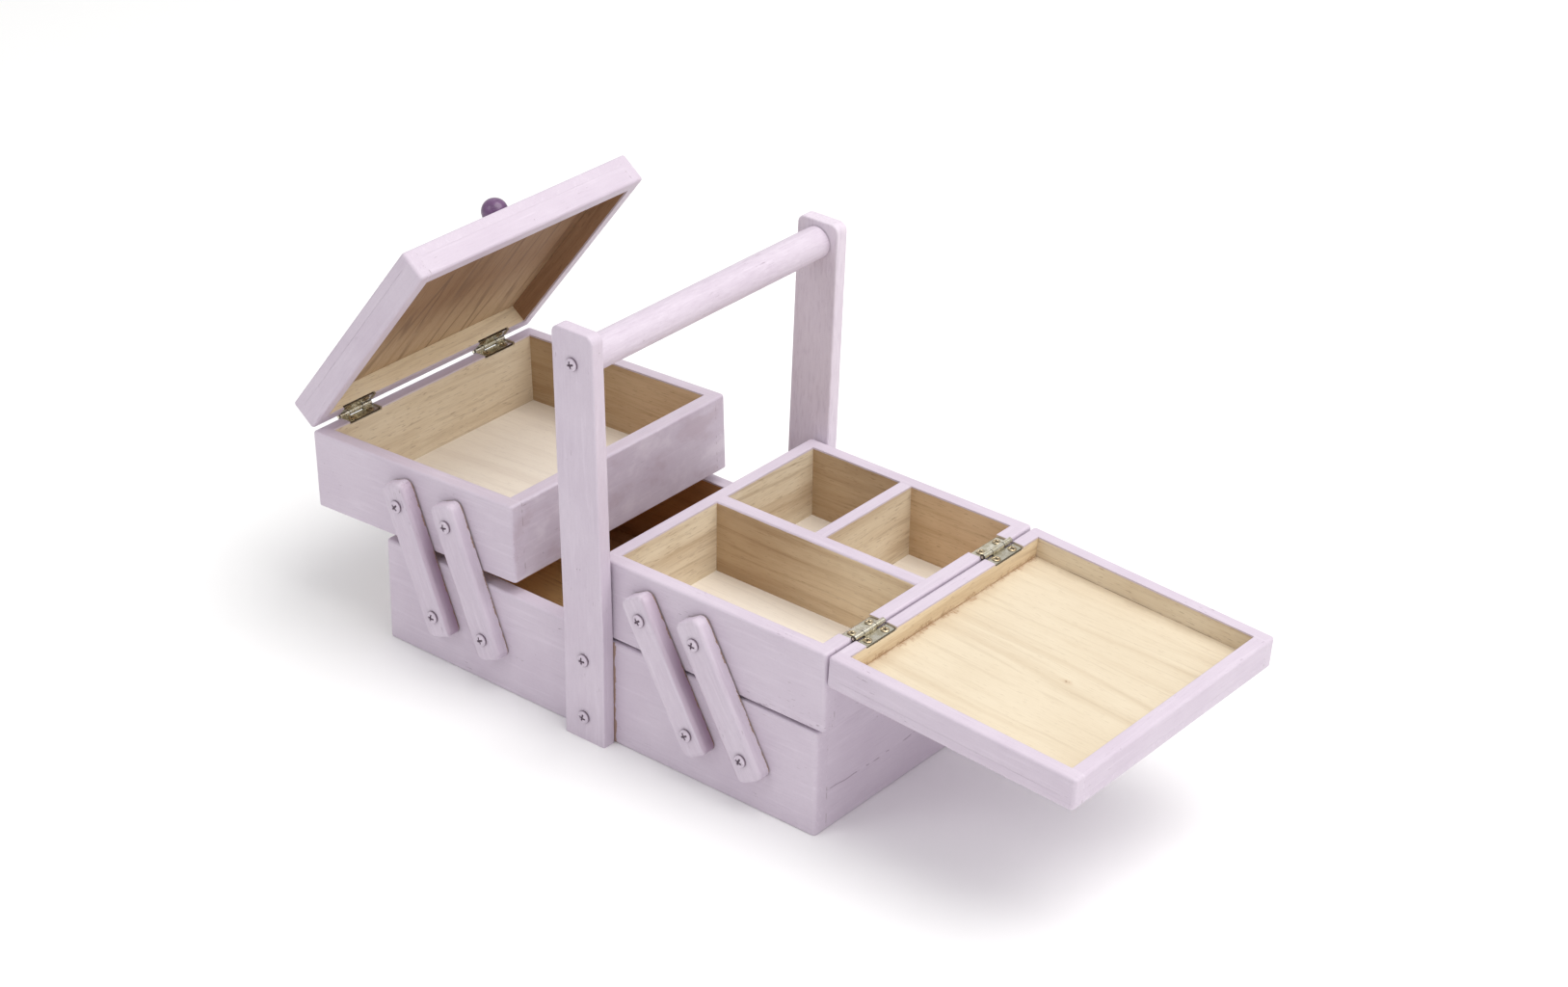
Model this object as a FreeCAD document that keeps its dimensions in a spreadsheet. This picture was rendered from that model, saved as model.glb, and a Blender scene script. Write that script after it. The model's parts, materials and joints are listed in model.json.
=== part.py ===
import FreeCAD, Part
import math
import os
import Sketcher
from FreeCAD import Placement, Rotation, Vector

# Cantilever sewing box: a base box with a carrying handle, and two trays that swing
# out and up on arms. Each tray has a lid hinged on its outer rim.
#
# Frame: origin at the centre of the base's bottom face, +X towards the right tray,
# -Y towards the front, +Z up. Millimetres and degrees.
# The trays stand as in use: the right one nearly closed with its lid folded right
# over, the left one swung out with its lid half open.

DRIVING_SIZES = [
    ("base_length", 251.0, "base box, along X"),
    ("base_depth", 144.4, "base box, along Y"),
    ("base_height", 51.2, "base box, along Z"),
    ("base_wall", 7.5, "thickness of the base boards"),
    ("base_floor", 4.0, "thickness of the base floor"),
    ("tray_length", 124.2, "tray, from its inner to its outer end"),
    ("tray_depth", 143.8, "tray, along Y"),
    ("tray_height", 37.9, "tray, along Z"),
    ("tray_wall", 6.8, "thickness of tray walls and dividers"),
    ("tray_floor", 3.0, "thickness of the tray floor"),
    ("long_divider_y", 1.1, "middle of the long divider"),
    ("short_divider_x", 59.4, "middle of the short divider, from the inner end"),
    ("lid_length", 124.0, "lid, from its hinge edge to its free edge"),
    ("lid_height", 14.8, "lid, rim to outer face"),
    ("lid_rail", 6.4, "width of the lid rails"),
    ("lid_panel", 5.0, "thickness of the lid panel"),
    ("lid_gap", 0.3, "space between tray rim and lid rim when closed"),
    ("corner_round", 1.8, "upright outer corners of the boxes"),
    ("rim_round", 1.3, "outer edge of rims"),
    ("foot_round", 0.8, "bottom edges, and the edges of the uprights"),
    ("arm_span", 53.4, "pivot to pivot"),
    ("arm_width", 15.0, "width of an arm"),
    ("arm_thick", 6.5, "thickness of an arm"),
    ("arm_overhang", 10.5, "arm beyond each pivot"),
    ("arm_corner", 4.0, "rounded corners of an arm"),
    ("arm_edge", 1.8, "rounded edge round an arm's outer face"),
    ("arm_gap", 0.35, "space between base wall and arm"),
    ("pivot_x", 60.0, "inner base pivot, from the middle"),
    ("pivot_pitch", 30.3, "inner pivot to outer pivot"),
    ("pivot_z", 26.6, "height of the base pivots"),
    ("right_inset", 29.0, "right tray: inner end to inner pivot"),
    ("right_rise", 20.38, "right tray: bottom to pivots"),
    ("right_lean", -29.5, "lean of the right arms, outwards positive"),
    ("left_inset", 34.25, "left tray: inner end to inner pivot"),
    ("left_rise", 20.97, "left tray: bottom to outer pivot"),
    ("left_drop", 0.62, "left tray: inner pivot below the outer one"),
    ("left_lean", 22.34, "lean of the left arms, outwards positive"),
    ("left_tilt", 2.35, "left tray: droop of its outer end"),
    ("right_lid_open", 183.4, "right lid, from closed"),
    ("left_lid_open", 50.3, "left lid, from closed"),
    ("shank_radius", 1.5, "screws through arms, uprights and bar"),
    ("pivot_play", 0.05, "radial clearance of an arm on its screw"),
    ("slack_play", 0.95, "radial clearance where the left linkage is slack"),
    ("screw_length", 12.95, "arm and upright screws, under the head"),
    ("bar_screw_length", 26.0, "handle bar screws, under the head"),
    ("head_radius", 3.1, "pan head"),
    ("head_height", 1.9, "pan head"),
    ("head_rim", 0.7, "straight side of the pan head"),
    ("head_gap", 0.1, "space under a pan head"),
    ("recess_length", 3.2, "cross recess, tip to tip"),
    ("recess_width", 0.7, "cross recess, width of a slot"),
    ("recess_depth", 1.1, "cross recess"),
    ("upright_x", 1.5, "middle of the uprights"),
    ("upright_width", 22.9, "upright, along X"),
    ("upright_thick", 7.0, "upright, along Y"),
    ("front_upright_height", 200.8, "front upright, along Z"),
    ("back_upright_height", 195.8, "back upright, along Z"),
    ("front_flare", 4.5, "outward lean of the front upright's top"),
    ("back_flare", 5.4, "outward lean of the back upright's top"),
    ("upright_corner", 4.0, "rounded top corners"),
    ("upright_low_screw", 11.8, "height of the lower foot screw"),
    ("upright_high_screw", 40.7, "height of the upper foot screw"),
    ("bar_height", 185.5, "height of the handle bar"),
    ("bar_radius", 7.5, "handle bar"),
    ("knob_radius", 6.2, "ball of the knob"),
    ("knob_rise", 5.6, "centre of the ball above the lid"),
    ("knob_edge", 15.6, "knob to the free edge of the lid"),
    ("dowel_radius", 2.5, "dowel of the knob"),
    ("dowel_depth", 3.5, "dowel in the lid panel"),
    ("hinge_out", 0.65, "hinge axis beyond the tray's outer face"),
    ("hinge_y", 44.5, "middle of a hinge, from the middle of the tray"),
    ("hinge_length", 20.0, "hinge, along its pin"),
    ("knuckle_radius", 1.35, "hinge barrel"),
    ("knuckle_half", 4.1, "half of the lid leaf's knuckle"),
    ("knuckle_gap", 0.1, "space between knuckles"),
    ("pin_radius", 0.65, "hinge pin"),
    ("pin_length", 20.8, "hinge pin"),
    ("leaf_width", 7.0, "axis to the leaf's far edge"),
    ("leaf_thick", 0.8, "hinge leaf"),
    ("leaf_seat", 1.65, "hinge axis to the leaf's back"),
    ("leaf_corner", 1.2, "rounded corners of a leaf"),
    ("leaf_screw_pitch", 11.5, "between the two screws of a leaf"),
    ("leaf_screw_x", 4.2, "hinge axis to the leaf screws"),
    ("leaf_screw_radius", 0.9, "leaf screw shank"),
    ("leaf_screw_length", 6.0, "leaf screw under its head"),
    ("leaf_head_radius", 1.7, "leaf screw head"),
    ("leaf_head_height", 0.5, "leaf screw head"),
]

FRONT = 0
BACK = 180

doc = FreeCAD.newDocument("sewing_box")
sheet = doc.addObject("Spreadsheet::Sheet", "Sizes")
for row, (alias, size, meaning) in enumerate(DRIVING_SIZES, start=1):
    sheet.set("A%d" % row, meaning)
    sheet.set("B%d" % row, str(size))
    sheet.setAlias("B%d" % row, alias)
doc.recompute()

subparts = []


def number(expression):
    """Value of an expression of sheet cells, such as 'Sizes.base_length / 2'."""
    return float(sheet.evalExpression(expression))


def cell(alias):
    return number("Sizes." + alias)


def keep(item):
    """Mark a finished object as a sub-part; its Label names its file."""
    subparts.append(item)
    return item


def turn(axis, angle):
    return Placement(Vector(0, 0, 0), Rotation(axis, angle))


def shift(x, y, z):
    return Placement(Vector(x, y, z), Rotation())


# ---------------------------------------------------------------- building blocks

def new_body(label):
    body = doc.addObject("PartDesign::Body", label)
    body.Label = label
    return body


def add_sketch(body, name, role, height="0"):
    """Sketch on one of the body's own planes, lifted along the plane's normal."""
    sketch = body.newObject("Sketcher::SketchObject", name)
    plane = [item for item in body.Origin.OriginFeatures if item.Role == role][0]
    sketch.AttachmentSupport = [(plane, "")]
    sketch.MapMode = "FlatFace"
    sketch.setExpression("AttachmentOffset.Base.z", height)
    return sketch


def pin_point(sketch, geometry, point, x, y):
    """Hold a sketch point at x, y from the origin, both given as expressions."""
    for kind, expression in (("DistanceX", x), ("DistanceY", y)):
        rule = Sketcher.Constraint(kind, -1, 1, geometry, point, number(expression))
        index = sketch.addConstraint(rule)
        sketch.setExpression("Constraints[%d]" % index, expression)


def draw_polygon(sketch, corners):
    """Closed polygon through corners, given as pairs of expressions."""
    count = len(corners)
    spots = [Vector(number(x), number(y), 0) for x, y in corners]
    first = sketch.GeometryCount
    for index in range(count):
        sketch.addGeometry(Part.LineSegment(spots[index], spots[(index + 1) % count]))
    for index in range(count):
        following = first + (index + 1) % count
        sketch.addConstraint(Sketcher.Constraint("Coincident", first + index, 2, following, 1))
    for index, (x, y) in enumerate(corners):
        pin_point(sketch, first + index, 1, x, y)


def draw_rectangle(sketch, left, right, low, high):
    draw_polygon(sketch, [(left, low), (right, low), (right, high), (left, high)])


def draw_circle(sketch, x, y, radius):
    centre = Vector(number(x), number(y), 0)
    circle = sketch.addGeometry(Part.Circle(centre, Vector(0, 0, 1), number(radius)))
    pin_point(sketch, circle, 3, x, y)
    index = sketch.addConstraint(Sketcher.Constraint("Radius", circle, number(radius)))
    sketch.setExpression("Constraints[%d]" % index, radius)


def pad(body, sketch, length, midplane=False):
    feature = body.newObject("PartDesign::Pad", sketch.Name + "_pad")
    feature.Profile = sketch
    feature.Midplane = midplane
    feature.setExpression("Length", length)
    doc.recompute()
    return feature


def pocket(body, sketch, depth, flipped=False):
    """Cut the sketch into the body; depth None cuts right through."""
    before = body.Shape.Volume
    feature = body.newObject("PartDesign::Pocket", sketch.Name + "_pocket")
    feature.Profile = sketch
    feature.Reversed = flipped
    if depth is None:
        feature.Type = "ThroughAll"
    else:
        feature.setExpression("Length", depth)
    doc.recompute()
    if feature.Shape.Volume > before - 0.1:
        raise RuntimeError("%s: the pocket %s cuts nothing" % (body.Label, sketch.Name))
    return feature


def drill(body, name, role, spots, radius, depth, height="0", flipped=False):
    """Round holes of one radius at spots, given as pairs of expressions."""
    sketch = add_sketch(body, name, role, height)
    for x, y in spots:
        draw_circle(sketch, x, y, radius)
    return pocket(body, sketch, depth, flipped)


def round_edges(body, name, radius, chooses):
    """Fillet every edge of the body whose bounding box chooses() accepts."""
    base = body.Tip
    names = []
    for index, edge in enumerate(base.Shape.Edges, start=1):
        if chooses(edge.BoundBox):
            names.append("Edge%d" % index)
    feature = body.newObject("PartDesign::Fillet", name)
    feature.Base = (base, names)
    feature.setExpression("Radius", radius)
    doc.recompute()
    return feature


def near(value, target):
    return abs(value - target) < 1e-4


def box(body, kind, name, corner, sizes):
    """PartDesign box primitive, additive or subtractive, with sizes bound to the sheet."""
    feature = body.newObject("PartDesign::" + kind, name)
    for side, expression in zip(("Length", "Width", "Height"), sizes):
        feature.setExpression(side, expression)
    for axis, expression in zip("xyz", corner):
        feature.setExpression("Placement.Base." + axis, expression)
    doc.recompute()
    return feature


def cylinder(body, kind, name, radius, length, start):
    """PartDesign cylinder primitive along +Y, starting at y = start."""
    feature = body.newObject("PartDesign::" + kind, name)
    feature.setExpression("Radius", radius)
    feature.setExpression("Height", length)
    feature.Placement = turn(Vector(1, 0, 0), -90)
    feature.setExpression("Placement.Base.y", start)
    doc.recompute()
    return feature


def board(label, length, thick, height, corners=False, rim_below=False, foot=True):
    """Board with its outer face at y = 0 and its inner face at y = thick.

    corners: its ends show, as a box's upright corners. rim_below: the open rim is at
    z = 0 instead of at the top. foot: the edge away from the rim is rounded too.
    """
    body = new_body(label)
    box(body, "AdditiveBox", label + "_blank", ("0", "0", "0"), (length, thick, height))
    long_side, deep, tall = number(length), number(thick), number(height)
    rim, far = (0, tall) if rim_below else (tall, 0)

    def is_end(bounds):
        return near(bounds.XMax, 0) or near(bounds.XMin, long_side)

    def upright_edge(bounds):
        return bounds.ZLength > tall / 2 and near(bounds.YMax, 0)

    def outer_edge(level):
        def chooses(bounds):
            at_level = near(bounds.ZMin, level) and near(bounds.ZMax, level)
            outer = at_level and not near(bounds.YMin, deep)
            return outer and (corners or not is_end(bounds))
        return chooses

    if corners:
        round_edges(body, label + "_corners", "Sizes.corner_round", upright_edge)
    round_edges(body, label + "_rim", "Sizes.rim_round", outer_edge(rim))
    if foot:
        round_edges(body, label + "_foot", "Sizes.foot_round", outer_edge(far))
    return body


def plain_board(label, length, thick, height):
    body = new_body(label)
    box(body, "AdditiveBox", label + "_blank", ("0", "0", "0"), (length, thick, height))
    return body


def group(label, master, places):
    """One sub-part of several separate copies of a master piece."""
    copies = []
    for index, place in enumerate(places, start=1):
        link = doc.addObject("App::Link", "%s_copy_%d" % (label, index))
        link.LinkedObject = master
        link.Placement = place
        copies.append(link)
    compound = doc.addObject("Part::Compound", label)
    compound.Label = label
    compound.Links = copies
    return keep(compound)


# ---------------------------------------------------------------- master fasteners

def pan_head_screw(label, length):
    """Screw along Z: the underside of its pan head at z = 0, its shank below."""
    body = new_body(label)
    sketch = add_sketch(body, label + "_profile", "XZ_Plane")
    draw_polygon(sketch, [
        ("0", "-" + length),
        ("Sizes.shank_radius", "-" + length),
        ("Sizes.shank_radius", "0"),
        ("Sizes.head_radius", "0"),
        ("Sizes.head_radius", "Sizes.head_rim"),
        ("Sizes.head_radius * 0.8", "Sizes.head_height * 0.82"),
        ("Sizes.head_radius * 0.45", "Sizes.head_height"),
        ("0", "Sizes.head_height"),
    ])
    spin = body.newObject("PartDesign::Revolution", label + "_turned")
    spin.Profile = sketch
    spin.ReferenceAxis = (sketch, ["V_Axis"])
    spin.Angle = 360
    doc.recompute()
    for suffix, across, along in (("a", "recess_length", "recess_width"),
                                  ("b", "recess_width", "recess_length")):
        slot = add_sketch(body, label + "_slot_" + suffix, "XY_Plane", "Sizes.head_height")
        half_x = "Sizes.%s / 2" % across
        half_y = "Sizes.%s / 2" % along
        draw_rectangle(slot, "-" + half_x, half_x, "-" + half_y, half_y)
        pocket(body, slot, "Sizes.recess_depth")
    return body


def leaf_screw(label):
    """Small hinge screw along Z: the underside of its head at z = 0."""
    body = new_body(label)
    shank = body.newObject("PartDesign::AdditiveCylinder", label + "_shank")
    shank.setExpression("Radius", "Sizes.leaf_screw_radius")
    shank.setExpression("Height", "Sizes.leaf_screw_length")
    shank.setExpression("Placement.Base.z", "-Sizes.leaf_screw_length")
    head = body.newObject("PartDesign::AdditiveCylinder", label + "_head")
    head.setExpression("Radius", "Sizes.leaf_head_radius")
    head.setExpression("Height", "Sizes.leaf_head_height")
    doc.recompute()
    top = number("Sizes.leaf_head_height")
    round_edges(body, label + "_dome", "Sizes.leaf_head_height * 0.6",
                lambda bounds: near(bounds.ZMin, top))
    return body


def hinge_leaf(label, spans):
    """Leaf along -X from the hinge axis, its back at z = -leaf_seat.

    spans are the stretches of the axis, as pairs of expressions, that this leaf's
    knuckles take up.
    """
    body = new_body(label)
    low = "-Sizes.leaf_seat"
    clear = "Sizes.knuckle_radius + 0.2"
    box(body, "AdditiveBox", label + "_plate",
        ("-Sizes.leaf_width", "-Sizes.hinge_length / 2", low),
        ("Sizes.leaf_width - (%s)" % clear, "Sizes.hinge_length", "Sizes.leaf_thick"))
    far_edge = -cell("leaf_width")

    def far_corner(bounds):
        return near(bounds.XMax, far_edge) and bounds.ZLength > 0.1 and bounds.YLength < 0.1

    round_edges(body, label + "_corners", "Sizes.leaf_corner", far_corner)
    for index, (start, finish) in enumerate(spans):
        reach = "(%s) - (%s)" % (finish, start)
        box(body, "AdditiveBox", "%s_tab_%d" % (label, index), ("-(%s)" % clear, start, low),
            (clear, reach, "Sizes.leaf_thick"))
        cylinder(body, "AdditiveCylinder", "%s_knuckle_%d" % (label, index),
                 "Sizes.knuckle_radius", reach, start)
    return body


def bore_leaf(body, pin_hole):
    """Pin bore and screw holes of a hinge leaf."""
    label = body.Label
    cylinder(body, "SubtractiveCylinder", label + "_bore", pin_hole,
             "Sizes.pin_length", "-Sizes.pin_length / 2")
    offset = "Sizes.leaf_screw_pitch / 2"
    spots = [("-Sizes.leaf_screw_x", "-" + offset), ("-Sizes.leaf_screw_x", offset)]
    drill(body, label + "_screw_holes", "XY_Plane", spots, "Sizes.leaf_screw_radius",
          "Sizes.leaf_thick", "Sizes.leaf_thick - Sizes.leaf_seat")
    return body


pivot_screw = pan_head_screw("pivot_screw", "Sizes.screw_length")
bar_screw = pan_head_screw("bar_screw", "Sizes.bar_screw_length")
small_screw = leaf_screw("small_screw")
half_hinge = "Sizes.hinge_length / 2"
knuckle_end = "Sizes.knuckle_half + Sizes.knuckle_gap"
tray_leaf = bore_leaf(
    hinge_leaf("tray_leaf", [("-" + half_hinge, "-(%s)" % knuckle_end), (knuckle_end, half_hinge)]),
    "Sizes.pin_radius")
lid_leaf = bore_leaf(
    hinge_leaf("lid_leaf", [("-Sizes.knuckle_half", "Sizes.knuckle_half")]),
    "Sizes.pin_radius + Sizes.pivot_play")
hinge_pin = new_body("hinge_pin")
cylinder(hinge_pin, "AdditiveCylinder", "hinge_pin_rod", "Sizes.pin_radius",
         "Sizes.pin_length", "-Sizes.pin_length / 2")


# ---------------------------------------------------------------- shared measures

half_depth = cell("base_depth") / 2
head_seat = half_depth + cell("arm_gap") + cell("arm_thick") + cell("head_gap")
hinge_height = cell("tray_height") + cell("lid_gap") / 2
mortise_depth = "(Sizes.leaf_seat - Sizes.lid_gap / 2)"
base_bite = "Sizes.screw_length - Sizes.arm_gap - Sizes.arm_thick - Sizes.head_gap"
tray_bite = "%s - (Sizes.base_depth - Sizes.tray_depth) / 2" % base_bite
upright_bite = "Sizes.screw_length - Sizes.upright_thick - Sizes.head_gap"


def facing(side, x, seat, z):
    """Place a Z-axis screw at x, z with its head outwards, front or back."""
    outwards = -1 if side == FRONT else 1
    tip = turn(Vector(1, 0, 0), -90 * outwards)
    return shift(x, outwards * seat, z).multiply(tip)


# ---------------------------------------------------------------- base and handle

def base_box():
    length, depth, wall = "Sizes.base_length", "Sizes.base_depth", "Sizes.base_wall"
    height = "Sizes.base_height"
    half_length = cell("base_length") / 2
    between = "%s - 2 * %s" % (depth, wall)
    pivots = ["Sizes.pivot_x", "Sizes.pivot_x + Sizes.pivot_pitch"]
    for label, side, drift in (("base_front", FRONT, "+"), ("base_back", BACK, "-")):
        body = board(label, length, wall, height, corners=True)
        spots = []
        for pivot in pivots:
            for sign in "+-":
                spots.append(("%s / 2 %s (%s)" % (length, sign, pivot), "Sizes.pivot_z"))
        drill(body, label + "_pivot_holes", "XZ_Plane", spots, "Sizes.shank_radius", base_bite)
        middle = "%s / 2 %s Sizes.upright_x" % (length, drift)
        feet = [(middle, "Sizes.upright_low_screw"), (middle, "Sizes.upright_high_screw")]
        drill(body, label + "_foot_holes", "XZ_Plane", feet, "Sizes.shank_radius", upright_bite)
        outwards = turn(Vector(0, 0, 1), side)
        body.Placement = outwards.multiply(shift(-half_length, -half_depth, 0))
        keep(body)
    for label, angle in (("base_left_end", -90), ("base_right_end", 90)):
        body = board(label, between, wall, height)
        inset = shift(-number(between) / 2, -half_length, 0)
        body.Placement = turn(Vector(0, 0, 1), angle).multiply(inset)
        keep(body)
    floor = plain_board("base_floor", "%s - 2 * %s" % (length, wall), between, "Sizes.base_floor")
    floor.Placement = shift(cell("base_wall") - half_length, cell("base_wall") - half_depth, 0)
    keep(floor)


def flare_at(end, height):
    """How far the inner face of an upright stands off the base at a height."""
    full_height = cell(end + "_upright_height")
    climb = (height - cell("base_height")) / (full_height - cell("base_height"))
    return cell(end + "_flare") * climb


def upright(end, side):
    """Side board of the handle, bent outwards above the base by the longer bar."""
    label = "upright_" + end
    body = new_body(label)
    profile = add_sketch(body, label + "_profile", "YZ_Plane")
    thick = "Sizes.upright_thick"
    flare = "Sizes.%s_flare" % end
    height = "Sizes.%s_upright_height" % end
    draw_polygon(profile, [
        ("0", "0"),
        ("0", "Sizes.base_height"),
        ("-" + flare, height),
        ("-%s - %s" % (flare, thick), height),
        ("-" + thick, "Sizes.base_height"),
        ("-" + thick, "0"),
    ])
    pad(body, profile, "Sizes.upright_width", midplane=True)
    top = number(height)
    half_width = cell("upright_width") / 2

    def top_corner(bounds):
        return near(bounds.ZMin, top) and bounds.XLength < 0.1

    round_edges(body, label + "_top_corners", "Sizes.upright_corner", top_corner)

    def outer_edge(bounds):
        return bounds.YMax < -1 and not near(bounds.ZMax, 0) and bounds.XLength < half_width

    round_edges(body, label + "_edges", "Sizes.foot_round", outer_edge)
    drill(body, label + "_holes", "XZ_Plane",
          [("0", "Sizes.upright_low_screw"), ("0", "Sizes.upright_high_screw"),
           ("0", "Sizes.bar_height")], "Sizes.shank_radius", None, flipped=True)
    ahead = shift(cell("upright_x"), 0, 0).multiply(turn(Vector(0, 0, 1), side))
    body.Placement = ahead.multiply(shift(0, -half_depth, 0))
    keep(body)


def handle_bar():
    """Round bar along Y, cut to fit between the leaning uprights."""
    lower_edge = cell("bar_height") - cell("bar_radius")
    front_end = -half_depth - flare_at("front", lower_edge)
    back_end = half_depth + flare_at("back", lower_edge)
    grip = "Sizes.bar_screw_length - Sizes.upright_thick"
    body = new_body("handle_bar")
    rod = body.newObject("PartDesign::AdditiveCylinder", "handle_bar_rod")
    rod.setExpression("Radius", "Sizes.bar_radius")
    rod.Height = back_end - front_end
    doc.recompute()
    drill(body, "handle_bar_back_hole", "XY_Plane", [("0", "0")], "Sizes.shank_radius", grip,
          flipped=True)
    drill(body, "handle_bar_front_hole", "XY_Plane", [("0", "0")], "Sizes.shank_radius", grip,
          height="handle_bar_rod.Height")
    across = shift(cell("upright_x"), back_end, cell("bar_height"))
    body.Placement = across.multiply(turn(Vector(1, 0, 0), 90))
    keep(body)


def handle():
    upright("front", FRONT)
    upright("back", BACK)
    handle_bar()
    middle = cell("upright_x")
    outer_face = half_depth + cell("upright_thick") + cell("head_gap")
    bar_seats = []
    foot_seats = []
    for end, side in (("front", FRONT), ("back", BACK)):
        seat = outer_face + flare_at(end, cell("bar_height"))
        bar_seats.append(facing(side, middle, seat, cell("bar_height")))
        for height in ("upright_low_screw", "upright_high_screw"):
            foot_seats.append(facing(side, middle, outer_face, cell(height)))
    group("bar_screws", bar_screw, bar_seats)
    group("upright_screws", pivot_screw, foot_seats)


# ---------------------------------------------------------------- trays and lids

def tray_walls(side_name, rise, drop, near_name, far_name):
    """Four walls and the floor of a tray, x from its inner end, z from its bottom."""
    length, depth, wall = "Sizes.tray_length", "Sizes.tray_depth", "Sizes.tray_wall"
    height = "Sizes.tray_height"
    inset = "Sizes.%s_inset" % side_name
    between = "%s - 2 * %s" % (depth, wall)
    half_tray = cell("tray_depth") / 2
    levels = [("%s" % inset, "%s - %s" % (rise, drop)), ("%s + Sizes.pivot_pitch" % inset, rise)]
    pieces = []
    for name, side in ((near_name, FRONT), (far_name, BACK)):
        label = "%s_tray_%s" % (side_name, name)
        body = board(label, length, wall, height, corners=True)
        if side == FRONT:
            spots = levels
            place = shift(0, -half_tray, 0)
        else:
            spots = [("%s - (%s)" % (length, x), z) for x, z in levels]
            place = shift(cell("tray_length"), half_tray, 0).multiply(turn(Vector(0, 0, 1), 180))
        drill(body, label + "_pivot_holes", "XZ_Plane", spots, "Sizes.shank_radius", tray_bite)
        pieces.append((body, place))
    inner = board(side_name + "_tray_inner", between, wall, height)
    place = turn(Vector(0, 0, 1), -90).multiply(shift(-number(between) / 2, 0, 0))
    pieces.append((inner, place))
    outer = board(side_name + "_tray_outer", between, wall, height)
    cut_hinge_seats(outer, between, height, False)
    place = shift(cell("tray_length"), 0, 0).multiply(turn(Vector(0, 0, 1), 90))
    pieces.append((outer, place.multiply(shift(-number(between) / 2, 0, 0))))
    floor = plain_board(side_name + "_tray_floor", "%s - 2 * %s" % (length, wall), between,
                        "Sizes.tray_floor")
    pieces.append((floor, shift(cell("tray_wall"), -number(between) / 2, 0)))
    return pieces


def cut_hinge_seats(body, length, rim, rim_below):
    """Two seats across a rim for the hinge leaves, and the leaf screws' pilot holes."""
    label = body.Label
    sketch = add_sketch(body, label + "_seats", "XZ_Plane")
    low, high = ("-1", mortise_depth) if rim_below else ("%s - %s" % (rim, mortise_depth),
                                                         rim + " + 1")
    spots = []
    for sign in "-+":
        middle = "(%s) / 2 %s Sizes.hinge_y" % (length, sign)
        reach = "(Sizes.hinge_length / 2 + 0.15)"
        draw_rectangle(sketch, "%s - %s" % (middle, reach), "%s + %s" % (middle, reach), low, high)
        for hop in "-+":
            spots.append(("%s %s Sizes.leaf_screw_pitch / 2" % (middle, hop),
                          "Sizes.leaf_screw_x - Sizes.hinge_out"))
    pocket(body, sketch, None)
    depth = "%s + Sizes.leaf_screw_length - Sizes.leaf_thick" % mortise_depth
    drill(body, label + "_screw_holes", "XY_Plane", spots, "Sizes.leaf_screw_radius", depth,
          "0" if rim_below else rim, flipped=rim_below)


def dividers(side_name):
    """Long divider from end to end, short divider from it to the back wall."""
    wall, tall = "Sizes.tray_wall", "Sizes.tray_height - Sizes.tray_floor"
    long_one = board(side_name + "_tray_long_divider", "Sizes.tray_length - 2 * " + wall,
                     wall, tall, foot=False)
    front_face = cell("long_divider_y") - cell("tray_wall") / 2
    long_place = shift(cell("tray_wall"), front_face, cell("tray_floor"))
    reach = "Sizes.tray_depth / 2 - %s - Sizes.long_divider_y - %s / 2" % (wall, wall)
    short_one = board(side_name + "_tray_short_divider", reach, wall, tall, foot=False)
    left_face = cell("short_divider_x") - cell("tray_wall") / 2
    back_face = cell("tray_depth") / 2 - cell("tray_wall")
    corner = shift(left_face, back_face, cell("tray_floor"))
    short_place = corner.multiply(turn(Vector(0, 0, 1), -90))
    return [(long_one, long_place), (short_one, short_place)]


def lid_pieces(side_name, near_name, far_name):
    """Rails, panel and knob of a closed lid, measured from the hinge axis."""
    length, depth, rail = "Sizes.lid_length", "Sizes.tray_depth", "Sizes.lid_rail"
    tall = "Sizes.lid_height - Sizes.lid_panel"
    between = "%s - 2 * %s" % (depth, rail)
    half_lid = cell("tray_depth") / 2
    hinge_edge = -cell("hinge_out")
    free_edge = hinge_edge - cell("lid_length")
    rim = cell("lid_gap") / 2
    pieces = []
    near_rail = board("%s_lid_%s_rail" % (side_name, near_name), length, rail, tall,
                      corners=True, rim_below=True, foot=False)
    pieces.append((near_rail, shift(free_edge, -half_lid, rim)))
    far_rail = board("%s_lid_%s_rail" % (side_name, far_name), length, rail, tall,
                     corners=True, rim_below=True, foot=False)
    pieces.append((far_rail, shift(hinge_edge, half_lid, rim).multiply(turn(Vector(0, 0, 1), 180))))
    free_rail = board(side_name + "_lid_free_rail", between, rail, tall,
                      rim_below=True, foot=False)
    turned = shift(free_edge, 0, rim).multiply(turn(Vector(0, 0, 1), -90))
    pieces.append((free_rail, turned.multiply(shift(-number(between) / 2, 0, 0))))
    hinge_rail = board(side_name + "_lid_hinge_rail", between, rail, tall,
                       rim_below=True, foot=False)
    cut_hinge_seats(hinge_rail, between, tall, True)
    turned = shift(hinge_edge, 0, rim).multiply(turn(Vector(0, 0, 1), 90))
    pieces.append((hinge_rail, turned.multiply(shift(-number(between) / 2, 0, 0))))
    panel_low = shift(free_edge, -half_lid, rim + number(tall))
    pieces.append((lid_panel(side_name + "_lid_panel", length, depth), panel_low))
    knob_spot = shift(free_edge + cell("knob_edge"), 0, rim + cell("lid_height"))
    pieces.append((knob(side_name + "_knob"), knob_spot))
    return pieces


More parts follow.
